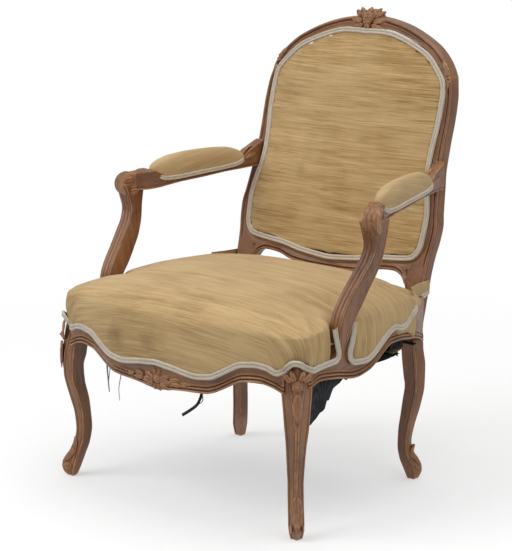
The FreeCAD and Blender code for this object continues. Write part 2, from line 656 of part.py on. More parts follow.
fabric_line = below_line("fabric_line", "0")
braid_line = below_line("braid_line", "braid_width")
cover_outside = cushion("cover_outside", "cloth_gap + fabric_thick", "0",
                        "seat_back + cloth_gap + fabric_thick", 200, True)
cover_inside = cushion("cover_inside", "cloth_gap", "2 * fabric_thick", "seat_back + cloth_gap",
                       100)
keep("seat_cover", cut("seat_cover", cover_outside, cover_inside, fabric_line, *notches))
stuffing_room = cushion("stuffing_room", "-cloth_gap", "2 * fabric_thick + cloth_gap", "seat_back",
                        "rail_top + canvas_thick")
keep("seat_stuffing", cut("seat_stuffing", stuffing_room, *notches))

braid_ring = cut("braid_ring",
                 seat_walls("braid_outer", "2 * cloth_gap + fabric_thick + braid_thick"),
                 seat_walls("braid_inner", "2 * cloth_gap + fabric_thick"))
braid_room = block("braid_room", (-WIDE / 2, -WIDE / 2, 0), (WIDE / 2, 150, WIDE))
keep("seat_braid", cut("seat_braid", common("braid_raised", braid_ring, braid_room, braid_line),
                       fabric_line, *notches))


# Back padding, seen from the front as one cartouche with a shallow crown, inside its braid
def back_pad(name, growth, rear):
    """The back's crowned form within the frame, down to a depth behind the frame's face."""
    side = outline(name + "_side", [
        (raked("-8", 430), 430), ("via", raked("-back_crown", 690), 690), (raked("-8", 930), 930),
        (raked(rear, 930), 930), (raked(rear, 430), 430)], SIDEWAYS)
    across = outline(name + "_across", [
        (-252, raked("-6", 400)), ("via", 0, raked("-back_crown", 400)), (252, raked("-6", 400)),
        (252, raked(rear, 400)), (-252, raked(rear, 400))])
    bowed = document.addObject("Part::Extrusion", name + "_bowed")
    bowed.Base = across
    bowed.DirMode = "Custom"
    bowed.Solid = True
    bowed.Dir = Vector(0, math.tan(math.radians(number("back_rake"))), 1)
    bowed.setExpression("LengthFwd", bound("600 / cos(back_rake)"))
    bowed.Placement.Base = Vector(0, 0, 400)
    return common(name, back_prism(name + "_form", growth), bowed,
                  board(name + "_arch", side, (1, 0, 0), -WIDE / 2, WIDE / 2))


pad_edge = "-braid_width - cloth_gap"
pad_outside = back_pad("pad_outside", pad_edge, "0")
pad_inside = common("pad_inside", back_prism("pad_hollow_form", pad_edge + " - fabric_thick"),
                    slab("pad_hollow_slab", "-2", "40"))
keep("back_cover", cut("back_cover", pad_outside, pad_inside))
keep("back_stuffing", common("back_stuffing",
     back_prism("stuffing_form", "-frame_lap - cloth_gap"), slab("stuffing_slab",
     "-2 + cloth_gap", "4")))
keep("back_braid", common("back_braid", cut("back_braid_ring", back_prism("back_braid_out", "0"),
     back_prism("back_braid_in", "-braid_width")), slab("back_braid_slab", "-back_braid_thick", "0")))


def back_webs():
    """Three upright jute bands behind the stuffing, let into the frame."""
    pitch = 118
    bands = []
    for place in (-1, 0, 1):
        bands.append(block("upright_web_%d" % (place + 2),
                           ("%d - web_width / 2" % (place * pitch), 0, 440),
                           ("%d + web_width / 2" % (place * pitch), WIDE, 930)))
    return common("upright_webs", group("upright_web_row", *bands), opening,
                  slab("upright_web_slab", "4 + cloth_gap", "4 + cloth_gap + web_thick"))


keep("back_webbing", back_webs())
keep("outside_back_cover", common("outside_back_cover", back_prism("outside_cloth", "-4"),
     slab("outside_slab", "back_thick", "back_thick + fabric_thick")))


# Arm pads: an eased oval on the middle of each arm, over its own stuffing
pad_plan = outline("arm_pad_plan", [
    (spread(0.15, -10), 192), ("via", spread(0.14, 0), 203), (spread(0.15, 9), 194),
    ("via", spread(0.42, 16), 80), (spread(0.7, 14), -26), ("via", spread(0.74, 0), -43),
    (spread(0.7, -14), -34), ("via", spread(0.42, -16), 80)])


PAD_SPLAY = 12.8


def arm_pad(name, growth, sink, underside):
    """The pad's crown over an underside that runs from behind the scroll back to the arm's rise."""
    top = "arm_height + pad_rise + 1 - (%s)" % sink
    half_width = 22
    shoulder = 20
    across = math.cos(math.radians(PAD_SPLAY)), math.sin(math.radians(PAD_SPLAY))
    centre = "%.4f * (%s) + %.4f" % (across[0], spread(0.15, 0), across[1] * 192)
    left, right = "%s - %d" % (centre, half_width), "%s + %d" % (centre, half_width)
    arch = outline(name + "_arch", [
        (left, "%s - %d" % (top, shoulder)), ("via", centre, top),
        (right, "%s - %d" % (top, shoulder)), (right, 560), (left, 560)],
        Rotation(Vector(0, 0, 1), PAD_SPLAY) * UPRIGHT)
    crown = board(name + "_crown", arch, (across[1], -across[0], 0), -WIDE / 2, WIDE / 2)
    side = outline(name + "_side", underside + [
        (168, "arm_height + pad_rise - 3 - (%s)" % sink),
        ("via", 82, "arm_height + pad_rise + 1 - (%s)" % sink),
        (10, "arm_height + pad_rise - 8 - (%s)" % sink)], SIDEWAYS)
    wall_plan = grown(name + "_wall_plan", pad_plan, growth)
    return common(name, board(name + "_profile", side, (1, 0, 0), 0, WIDE / 2),
                  board(name + "_walls", wall_plan, (0, 0, 1), 560, 700), crown)


skirt = [(-36, "arm_height + 10"), (-50, "arm_height - 8"), (-20, "arm_height - 16"),
         ("via", 60, "arm_height - 20"), (150, "arm_height - 9"), (205, "arm_height + 12"),
         (200, "arm_height + 20")]
hollow = [(-33, "arm_height + 7"), (-60, "arm_height - 40"), (220, "arm_height - 40"),
          (196, "arm_height + 19")]
bed = [(-32, "arm_height + 5"), (-27, "arm_height - 5.5"), ("via", 80, "arm_height - 2.6"),
       (183, "arm_height + 5.5"), (190, "arm_height + 23")]
pad_cover = arm_pad("pad_cover", "cloth_gap + fabric_thick", "0", skirt)
pad_hollow = arm_pad("pad_hollow", "cloth_gap", "fabric_thick", hollow)
pair("arm_pad_cover", cut("arm_pad_cover", pad_cover, pad_hollow, arm_whole))
pair("arm_pad_stuffing", arm_pad("arm_pad_stuffing", "-cloth_gap", "fabric_thick + cloth_gap", bed))


def finish():
    """Stops at anything that failed, then writes each piece to its own file."""
    document.recompute()
    failed = [item.Label for item in document.Objects
              if "Invalid" in item.State or "Error" in item.State]
    if failed:
        raise RuntimeError("not built: " + ", ".join(failed))
    for label, piece in pieces.items():
        if piece.Shape.isNull() or not piece.Shape.isValid():
            raise RuntimeError(label + " has no valid shape")
    os.makedirs("parts", exist_ok=True)
    for label, piece in pieces.items():
        piece.Shape.exportStep("parts/%s.step" % label)


finish()
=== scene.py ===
import math
import bmesh
import bpy
import numpy as np
from mathutils import Matrix, Vector


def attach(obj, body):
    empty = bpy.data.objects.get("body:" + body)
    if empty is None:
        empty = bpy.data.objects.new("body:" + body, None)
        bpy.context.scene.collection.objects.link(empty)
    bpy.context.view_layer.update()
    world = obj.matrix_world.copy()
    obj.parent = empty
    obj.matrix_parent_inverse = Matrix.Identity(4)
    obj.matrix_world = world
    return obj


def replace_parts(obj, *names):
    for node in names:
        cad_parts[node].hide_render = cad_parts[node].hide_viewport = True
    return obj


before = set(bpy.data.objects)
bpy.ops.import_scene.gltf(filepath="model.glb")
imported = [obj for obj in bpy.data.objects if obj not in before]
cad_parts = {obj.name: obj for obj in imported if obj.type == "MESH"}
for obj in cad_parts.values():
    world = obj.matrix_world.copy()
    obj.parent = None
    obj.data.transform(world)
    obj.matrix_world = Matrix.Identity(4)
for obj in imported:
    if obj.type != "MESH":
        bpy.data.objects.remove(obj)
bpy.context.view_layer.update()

MM = 0.001
RAKE = math.radians(14.84)
BACK_LINE = 202.0
BACK_THICK = 29.0


def link(thing):
    bpy.context.scene.collection.objects.link(thing)
    return thing


# Camera at the photograph's angle, its lens fitted to a 512 by 551 frame
def make_camera():
    azimuth, elevation = math.radians(41.4047), math.radians(12.0287)
    forward = Vector((-math.sin(azimuth) * math.cos(elevation),
                      math.cos(azimuth) * math.cos(elevation), -math.sin(elevation)))
    right = Vector((math.cos(azimuth), math.sin(azimuth), 0))
    up = right.cross(forward)
    turn = Matrix((right, up, -forward)).transposed().to_4x4()
    data = bpy.data.cameras.new("camera")
    data.sensor_fit = "AUTO"
    data.sensor_width = 36
    data.lens = 2072.75 * 36 / 551
    data.clip_end = 100
    camera = link(bpy.data.objects.new("camera", data))
    camera.matrix_world = Matrix.Translation((2.7708, -3.1896, 1.3309)) @ turn

    bpy.context.scene.camera = camera


make_camera()
bpy.context.scene.view_settings.view_transform = "Standard"


# Node trees
def shaded(value):
    return (*value, 1.0)


class Nodes:
    """The emptied node tree of a material or a world; its methods give back sockets."""

    def __init__(self, owner):
        owner.use_nodes = True
        self.owner = owner
        self.tree = owner.node_tree
        self.tree.nodes.clear()

    def feed(self, socket, value):
        if isinstance(value, bpy.types.NodeSocket):
            self.tree.links.new(value, socket)
        else:
            socket.default_value = value

    def add(self, kind, settings=None, **sockets):
        node = self.tree.nodes.new("ShaderNode" + kind)
        for key, value in (settings or {}).items():
            setattr(node, key, value)
        for key, value in sockets.items():
            self.feed(node.inputs[key.replace("_", " ")], value)
        return node

    def fed(self, kind, settings, *values, out=0):
        """A node whose first sockets take these values in turn."""
        node = self.add(kind, settings)
        for socket, value in zip(node.inputs, values):
            self.feed(socket, value)
        return node.outputs[out]

    def math(self, operation, one, two):
        return self.fed("Math", {"operation": operation}, one, two)

    def ramp(self, source, *stops):
        node = self.add("ValToRGB")
        self.feed(node.inputs[0], source)
        band = node.color_ramp
        while len(band.elements) < len(stops):
            band.elements.new(0.5)
        for element, (place, value) in zip(band.elements, stops):
            element.position = place
            element.color = shaded((value,) * 3 if isinstance(value, float) else value)
        return node.outputs[0]

    def mix(self, share, one, two):
        node = self.add("Mix", {"data_type": "RGBA"})
        for number, value in ((0, share), (6, one), (7, two)):
            self.feed(node.inputs[number], shaded(value) if isinstance(value, tuple) else value)
        return node.outputs[2]

    def noise(self, vector, scale, detail=3.0, rough=0.55, distort=0.0):
        return self.add("TexNoise", Vector=vector, Scale=scale, Detail=detail, Roughness=rough,
                        Distortion=distort).outputs[0]

    def wave(self, direction, vector, scale, **sockets):
        return self.add("TexWave", {"wave_type": "BANDS", "bands_direction": direction},
                        Vector=vector, Scale=scale, Detail=2.0, **sockets).outputs[1]

    def stretched(self, source, *scale):
        return self.add("Mapping", Vector=source, Scale=scale).outputs[0]

    def place(self):
        return self.add("TexCoord").outputs["Object"]

    def weave(self):
        return self.add("UVMap", {"uv_map": "weave"}).outputs[0]

    def bumped(self, height, strength, distance):
        return self.add("Bump", Height=height, Strength=strength, Distance=distance).outputs[0]

    def principled(self, **sockets):
        shader = self.add("BsdfPrincipled", **sockets)
        self.add("OutputMaterial", Surface=shader.outputs[0])
        return self.owner


# Materials
def wood(name, along):
    """Old walnut: long grain and pores, painted shade in its recesses and rubbed light on its edges."""
    look = Nodes(bpy.data.materials.new(name))
    place = look.place()
    coarse, fine = [26.0] * 3, [520.0] * 3
    coarse[along], fine[along] = 3.0, 16.0
    figure = look.noise(look.stretched(place, *coarse), 1.0, 6.0, 0.62, 1.2)
    pores = look.noise(look.stretched(place, *fine), 1.0, 3.0, 0.6)
    patches = look.noise(place, 9.0)
    body = look.ramp(figure, (0.28, (0.105, 0.038, 0.016)), (0.5, (0.205, 0.082, 0.032)),
                     (0.72, (0.315, 0.142, 0.057)))
    body = look.mix(look.ramp(pores, (0.36, 0.75), (0.5, 0.0)), body, (0.085, 0.032, 0.014))
    body = look.mix(look.ramp(patches, (0.42, 0.0), (0.66, 0.38)), body, (0.37, 0.172, 0.068))
    edge = look.add("NewGeometry").outputs["Pointiness"]
    worn = look.math("MULTIPLY", look.ramp(edge, (0.505, 0.0), (0.56, 1.0)),
                     look.ramp(look.noise(place, 60.0, 4.0), (0.38, 0.25), (0.6, 1.0)))
    body = look.mix(worn, body, (0.50, 0.25, 0.105))
    # painted shade: low pointiness darkens the recesses towards near black, in place of occlusion
    body = look.mix(look.ramp(edge, (0.435, 1.0), (0.492, 0.0)), body, (0.030, 0.012, 0.007))
    rough = look.ramp(look.noise(place, 90.0, 4.0), (0.3, 0.26), (0.7, 0.46))
    return look.principled(Base_Color=body, Roughness=rough, Normal=look.bumped(pores, 0.22, 0.0006))


def velvet(name, marks=(), rubbed=0.0):
    """Gold strie velvet: slubs along the weft, a rubbed nap, fine ribs and a soft sheen."""
    look = Nodes(bpy.data.materials.new(name))
    cloth, place = look.weave(), look.place()
    slubs = look.noise(look.stretched(cloth, 11.0, 300.0, 1.0), 1.0, 4.0, 0.62, 0.35)
    fibres = look.noise(look.stretched(cloth, 60.0, 900.0, 1.0), 1.0, 2.0, 0.6)
    bands = look.noise(look.stretched(cloth, 3.0, 46.0, 1.0), 1.0, 3.0, 0.6)
    nap = look.noise(place, 6.5, 4.0, 0.6)
    streaks = look.math("ADD", look.math("MULTIPLY", slubs, 0.62), look.math("MULTIPLY", bands, 0.38))
    body = look.ramp(streaks, (0.36, (0.262, 0.152, 0.050)), (0.47, (0.430, 0.272, 0.108)),
                     (0.56, (0.545, 0.370, 0.170)), (0.66, (0.70, 0.505, 0.262)))
    body = look.mix(look.ramp(nap, (0.40, 0.0), (0.68, 0.55)), body, (0.60, 0.425, 0.215))
    body = look.mix(look.ramp(nap, (0.30, 0.40), (0.45, 0.0)), body, (0.335, 0.205, 0.078))
    if rubbed:
        body = look.mix(rubbed, body, (0.60, 0.44, 0.25))
    for point, size, depth in marks:
        distance = look.fed("VectorMath", {"operation": "DISTANCE"}, place, point, out=1)
        wobble = look.math("MULTIPLY", look.noise(place, 38.0), size * 0.9)
        reach = look.math("DIVIDE", look.math("ADD", distance, wobble), size * 1.6)
        body = look.mix(look.ramp(reach, (0.35, depth), (0.75, 0.0)), body, (0.185, 0.105, 0.036))
    height = look.math("ADD", look.math("MULTIPLY", slubs, 0.7), look.math("MULTIPLY", fibres, 0.3))
    return look.principled(Base_Color=body, Roughness=0.82, Normal=look.bumped(height, 0.65, 0.0012),
                           Sheen_Weight=0.28, Sheen_Roughness=0.38, Sheen_Tint=(1.0, 0.90, 0.72, 1.0),
                           Specular_IOR_Level=0.2)


def gimp(name):
    """Cream braid: twisted strands along its length with painted shade in the grooves between them, a little
    soiled.
    """
    look = Nodes(bpy.data.materials.new(name))
    twist = look.wave("DIAGONAL", look.stretched(look.weave(), 330.0, 330.0, 1.0), 1.0, Distortion=1.5)
    soil = look.noise(look.place(), 34.0, 4.0)
    # painted shade: the twist's low grooves are coloured darker than the cream strands
    body = look.ramp(twist, (0.05, (0.50, 0.42, 0.31)), (0.45, (0.78, 0.71, 0.60)))
    body = look.mix(look.ramp(soil, (0.48, 0.0), (0.72, 0.5)), body, (0.56, 0.45, 0.31))
    return look.principled(Base_Color=body, Roughness=0.78, Normal=look.bumped(twist, 0.7, 0.0007),
                           Sheen_Weight=0.2, Sheen_Roughness=0.5, Specular_IOR_Level=0.25)


def plain_cloth(name, dark, light, pitch):
    """A woven cloth with crossing threads, uneven colour and dust."""
    look = Nodes(bpy.data.materials.new(name))
    place = look.place()
    across, along = (look.wave(direction, place, pitch, Distortion=0.6, Detail_Scale=3.0)
                     for direction in "XY")
    threads = look.math("MULTIPLY", across, along)
    dust = look.noise(place, 22.0, 5.0, 0.65)
    body = look.mix(threads, dark, light)
    body = look.mix(look.ramp(dust, (0.42, 0.0), (0.75, 0.55)), body, light)
    return look.principled(Base_Color=body, Roughness=0.9, Normal=look.bumped(threads, 0.5, 0.0006),
                           Specular_IOR_Level=0.2)


def old_wire(name):
    look = Nodes(bpy.data.materials.new(name))
    rust = look.noise(look.place(), 120.0, 5.0, 0.65)
    body = look.ramp(rust, (0.4, (0.05, 0.05, 0.055)), (0.62, (0.11, 0.055, 0.03)))
    return look.principled(Base_Color=body, Metallic=0.7, Roughness=look.ramp(rust, (0.3, 0.42), (0.7, 0.8)))


WOOD = [wood("walnut_across", 0), wood("walnut_deep", 1), wood("walnut_upright", 2)]


# Directions and lines
def joined(*columns):
    return np.column_stack(columns)


def unit(vectors):
    vectors = np.asarray(vectors, float)
    return vectors / (np.linalg.norm(vectors, axis=-1, keepdims=True) + 1e-12)


def heading(path, closed=False):
    """The direction of a path at each of its points."""
    return unit(np.roll(path, -1, 0) - np.roll(path, 1, 0) if closed else np.gradient(path, axis=0))


def squared(outward, tangent):
    """Directions turned square to others."""
    outward = np.asarray(outward, float)
    return unit(outward - tangent * (outward * tangent).sum(-1, keepdims=True))


def eased(line, times, own=2, axis=0):
    """A closed line drawn towards its neighbours' mean."""
    for _ in range(times):
        line = (np.roll(line, 1, axis) + own * line + np.roll(line, -1, axis)) / (own + 2)
    return line


def circle(count):
    return np.linspace(0, 2 * math.pi, count, endpoint=False)


# Mesh building: a part is an array of points in millimetres and a list of faces
def through(points, count, closed=False):
    """Evenly spaced points on a smooth line through the given ones."""
    ends = np.asarray(points, float)
    if closed:
        ends = np.vstack([ends[-1], ends, ends[0], ends[1]])
    else:
        ends = np.vstack([2 * ends[0] - ends[1], ends, 2 * ends[-1] - ends[-2]])
    step = np.linspace(0, 1, 20, endpoint=False)[:, None]
    runs = []
    for place in range(1, len(ends) - 2):
        a, b, c, d = ends[place - 1:place + 3]
        runs.append(0.5 * (2 * b + (c - a) * step + (2 * a - 5 * b + 4 * c - d) * step ** 2
                           + (3 * b - a - 3 * c + d) * step ** 3))
    dense = np.vstack(runs + [ends[-2][None]])
    length = np.r_[0, np.cumsum(np.linalg.norm(np.diff(dense, axis=0), axis=1))]
    at = np.linspace(0, length[-1], count, endpoint=not closed)
    return np.stack([np.interp(at, length, dense[:, axis]) for axis in range(dense.shape[1])], 1)


def read(at, xs, ys):
    """A table of places and values read smoothly, with no overshoot."""
    xs, ys = np.asarray(xs, float), np.asarray(ys, float)
    gap = np.diff(xs)
    slope = np.diff(ys) / gap
    both = slope[:-1] * slope[1:]
    tangent = np.zeros_like(ys)
    total = np.where(np.abs(slope[:-1] + slope[1:]) < 1e-9, 1e-9, slope[:-1] + slope[1:])
    tangent[1:-1] = np.where(both > 0, 2 * both / total, 0)
    tangent[0], tangent[-1] = slope[0], slope[-1]
    at = np.clip(at, xs[0], xs[-1])
    cell = np.clip(np.searchsorted(xs, at) - 1, 0, len(gap) - 1)
    t = (at - xs[cell]) / gap[cell]
    return ((2 * t ** 3 - 3 * t ** 2 + 1) * ys[cell] + (t ** 3 - 2 * t ** 2 + t) * gap[cell] * tangent[cell]
            + (3 * t ** 2 - 2 * t ** 3) * ys[cell + 1] + (t ** 3 - t ** 2) * gap[cell] * tangent[cell + 1])


def grid(points, around=False, closed=False):
    """Quads over an array of points; around joins the second direction, closed the first."""
    rows, columns = points.shape[:2]
    number = np.arange(rows * columns).reshape(rows, columns)
    i, j = np.meshgrid(np.arange(rows if closed else rows - 1),
                       np.arange(columns if around else columns - 1), indexing="ij")
    after, beside = (i + 1) % rows, (j + 1) % columns
    faces = np.stack([number[i, j], number[after, j], number[after, beside], number[i, beside]], -1)
    return points.reshape(-1, 3), [tuple(face) for face in faces.reshape(-1, 4).tolist()]


def capped(rings):
    verts, faces = grid(rings, around=True)
    rows, columns = rings.shape[:2]
    middle = np.vstack([rings[0].mean(0), rings[-1].mean(0)])
    base = len(verts)
    verts = np.vstack([verts, middle])
    last = (rows - 1) * columns
    for place in range(columns):
        after = (place + 1) % columns
        faces.append((after, place, base))
        faces.append((last + place, last + after, base + 1))
    return verts, faces


def together(*parts):
    verts, faces, base = [], [], 0
    for points, polygons in parts:
        verts.append(points)
        faces += [tuple(corner + base for corner in polygon) for polygon in polygons]
        base += len(points)
    return np.vstack(verts), faces


def mirrored(part):
    verts, faces = part
    return verts * np.array([-1.0, 1, 1]), [tuple(reversed(face)) for face in faces]


def both_sides(name, part):
    """The right-hand form and its mirror image, each with its name."""
    return (name + "_right", part), (name + "_left", mirrored(part))


def placed(part, origin, along, upward):
    """A part set at a point, with its x axis along one direction and its z axis upward."""
    x = unit(along)
    z = squared(upward, x)
    return part[0] @ np.stack([x, np.cross(z, x), z]) + np.asarray(origin, float), part[1]


def four(*corners):
    """Four-cornered stations, each corner given by its columns."""
    return np.stack([np.column_stack(corner) for corner in corners], 1)


def make(name, part, material, sharp=42, weave=None):
    verts, faces = part
    mesh = bpy.data.meshes.new(name)
    mesh.from_pydata((np.asarray(verts) * MM).tolist(), [], faces)
    mesh.validate()
    form = bmesh.new()
    form.from_mesh(mesh)
    bmesh.ops.recalc_face_normals(form, faces=form.faces)
    form.to_mesh(mesh)
    form.free()
    mesh.shade_smooth()
    if sharp:
        mesh.set_sharp_from_angle(angle=math.radians(sharp))
    mesh.materials.append(material)
    piece = link(bpy.data.objects.new(name, mesh))
    if weave is not None:
        spread_weave(piece, weave)
    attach(piece, "root")
    return piece


def pair(name, ending, part, material):
    """Both carved members of a pair, each in place of its plain one."""
    for node, form in both_sides(name, part):
        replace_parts(make(node + ending, form, material), node)


def points_of(mesh):
    points = np.empty(len(mesh.vertices) * 3)
    mesh.vertices.foreach_get("co", points)
    return points.reshape(-1, 3)


def spread_weave(piece, rule):
    """Writes the cloth's own two directions, in metres, as a map for its material."""
    mesh = piece.data
    flat = rule(points_of(mesh) / MM) * MM
    corner = np.empty(len(mesh.loops), dtype=np.int32)
    mesh.loops.foreach_get("vertex_index", corner)
    layer = mesh.uv_layers.new(name="weave")
    layer.data.foreach_set("uv", flat[corner].astype(np.float32).ravel())


def beam(stations, counts, relief=None, rounding=3):
    """A member through four-cornered stations, its corners eased and its faces moulded.

    relief gives how far a face stands out, from the face, millimetres from its first corner,
    the same from its second corner, and the station's place from 0 to 1."""
    stations = np.asarray(stations, float)
    rings, faces, first, second = [], [], [], []
    for side, count in enumerate(counts):
        start, end = stations[:, side], stations[:, (side + 1) % 4]
        share = (np.arange(count) / count)[None, :, None]
        rings.append(start[:, None] * (1 - share) + end[:, None] * share)
        length = np.linalg.norm(end - start, axis=1)[:, None]
        first.append(length * share[:, :, 0])
        second.append(length * (1 - share[:, :, 0]))
        faces.append(np.full(count, side))
    rings = np.concatenate(rings, 1)
    first, second = np.concatenate(first, 1), np.concatenate(second, 1)
    rings = eased(rings, rounding, axis=1)
    if relief is not None:
        flat = np.cross(stations[:, 1] - stations[:, 0], stations[:, 2] - stations[:, 1])
        tangent = np.roll(rings, -1, 1) - np.roll(rings, 1, 1)
        outward = unit(np.cross(tangent, flat[:, None]))
        centre = rings.mean(1, keepdims=True)
        sign = np.sign(((rings - centre) * outward).sum(2).mean(1))[:, None, None]
        face = np.broadcast_to(np.concatenate(faces)[None], first.shape)
        along = np.broadcast_to(np.linspace(0, 1, len(stations))[:, None], first.shape)
        rings = rings + outward * sign * relief(face, first, second, along)[:, :, None]
    return capped(rings)


def bump(distance, centre, width, height):
    return height * np.exp(-((distance - centre) / width) ** 2)


def lined(distance, *marks):
    """Beads and grooves beside an edge, each a centre, a width and a height or a depth."""
    return sum(bump(distance, *mark) for mark in marks)


def tube(path, radius, sides=8):
    """A round strand along a path; the radius may change along it."""
    tangent = heading(path)
    side = np.cross(tangent[0], (0, 0, 1.0))
    if np.linalg.norm(side) < 0.1:
        side = np.cross(tangent[0], (0, 1.0, 0))
    turn = circle(sides)[:, None]
    rings = []
    for point, size, way in zip(path, np.broadcast_to(radius, len(path)), tangent):
        side = squared(side, way)
        rings.append(point + size * (np.cos(turn) * side + np.sin(turn) * np.cross(way, side)))
    return capped(np.array(rings))


def coil(centre, ahead, turns, count, sizes, strand, start=0.0, sides=6):
    """A carved spiral in the upright plane along a direction."""
    swirl = start + np.linspace(0, turns * 2 * math.pi, count)
    size = np.linspace(*sizes, count)
    path = centre + np.outer(np.cos(swirl) * size, ahead) + np.outer(np.sin(swirl) * size, (0, 0, 1))
    return tube(path, np.linspace(*strand, count), sides)


def leaf(length, width, rise=3.0, curl=0.0, lobes=3, sink=2.5, rows=26, columns=15):
    """A carved leaf on its own plane: lobed, ribbed, domed, its rim let into the wood."""
    u = np.linspace(0, 1, rows)[:, None]
    v = np.linspace(-1, 1, columns)[None, :]
    half = width / 2 * np.sin(math.pi * np.clip(u, 0.001, 0.999) ** 0.72) ** 0.75
    half = half * (1 + 0.13 * np.abs(np.sin(lobes * math.pi * u)) - 0.06)
    dome = (1 - v ** 4) * rise * np.sin(math.pi * np.clip(u + 0.12, 0, 1)) ** 0.5
    vein = -0.9 * np.exp(-(v / 0.11) ** 2) * (1 - u)
    ribs = 0.45 * np.cos(lobes * 2 * math.pi * (u - 0.25 * np.abs(v))) * np.abs(v) * (1 - v ** 4)
    height = dome + vein + ribs * rise / 3 + curl * u ** 2 - sink * np.abs(v) ** 8 - sink * 0.2
    points = np.stack([np.broadcast_to(u * length, height.shape), half * v * np.ones_like(u), height], -1)
    return grid(points)


def button(radius, rise, rings=7, sides=14):
    """A domed boss with a dimpled top."""
    r = np.linspace(0.02, 1, rings)[:, None]
    turn = circle(sides)[None, :]
    height = rise * np.sqrt(np.clip(1 - r ** 2, 0, 1)) - 0.35 * rise * np.exp(-(r / 0.3) ** 2)
    points = np.stack([radius * r * np.cos(turn), radius * r * np.sin(turn),
                       height * np.ones_like(turn)], -1)
    return grid(points, around=True)


def flower(radius, petals=6, rise=4.0):
    """A carved flower: two rings of petals round a boss."""
    parts = [placed(button(radius * 0.26, rise * 1.5), (0, 0, rise * 0.5), (1, 0, 0), (0, 0, 1))]
    for ring, (reach, lift, shift) in enumerate(((1.0, 0.0, 0.0), (0.66, rise * 0.45, 0.5))):
        for place in range(petals):
            turn = 2 * math.pi * (place + shift) / petals
            way = (math.cos(turn), math.sin(turn), 0)
            petal = leaf(radius * reach * 0.95, radius * reach * 0.95, rise * 0.8, -rise * 0.3, 1,
                         rise * 0.5, 12, 9)
            parts.append(placed(petal, (0, 0, lift), way, (0, 0, 1)))
    return together(*parts)


def wrapped_leaf(spine, cross, outward, width, rise, drop, rows, columns):
    """A carved leaf laid along a bent line, its sides folded back over the member."""
    points = leaf(1, width, rise, 0, 4, 2.4, rows, columns)[0].reshape(rows, columns, 3)
    line = through(spine, rows)
    normal = np.cross(heading(line), cross)
    normal *= np.where(normal @ outward < 0, -1, 1)[:, None]
    bend = (np.abs(points[:, :, 1:2]) * 2 / width) ** 2 * drop
    return grid(line[:, None] + cross * points[:, :, 1:2] + normal[:, None] * (points[:, :, 2:] - bend))


# Where the frame's members run, in millimetres
HALF_WIDTH = 326
BOW = 55


def rake_y(z):
    return BACK_LINE + math.tan(RAKE) * (np.asarray(z, float) - 500)


def plan_front(x):
    return -343 + BOW * (np.asarray(x, float) / HALF_WIDTH) ** 2


def plan_side(y):
    return read(y, [-288, -210, -130, -45, 40, 120, 205], [326, 325, 322, 316, 305, 287, 258])


FRONT_EDGE = ([0, 60, 125, 145, 165, 185, 205, 240, 268, 290],
              [254, 262, 266, 272, 282, 293, 301, 304, 298, 288])
FRONT_LINE = ([0, 50, 100, 136, 170, 204, 240, 268, 288, 298],
              [305, 300, 293, 297, 313, 330, 334, 329, 321, 330])
SIDE_EDGE = ([-258, -230, -190, -112, -70, -40, -15, 14, 50, 80, 130, 175],
             [298, 306, 302, 290, 296, 309, 323, 333, 332, 327, 318, 300])
SIDE_LINE = ([-272, -264, -225, -190, -136, -89, -42, -10, 20, 48, 85, 120, 150],
             [338, 326, 331, 330, 320, 315, 334, 353, 360, 350, 362, 380, 392])


def diagonal(centre, way, side, outer, inner, edge, half):
    """Four corners, in plan, of a member sawn square to the chair's diagonal."""
    return [centre + ahead[:, None] * way + aside[:, None] * side
            for ahead, aside in ((outer, 0 * half), (edge, half), (inner, 0 * half), (edge, -half))]


# Front legs: cabriole, sawn square to the chair's corner, moulded along the arrises of their two outer faces
LEG_TOP = 368


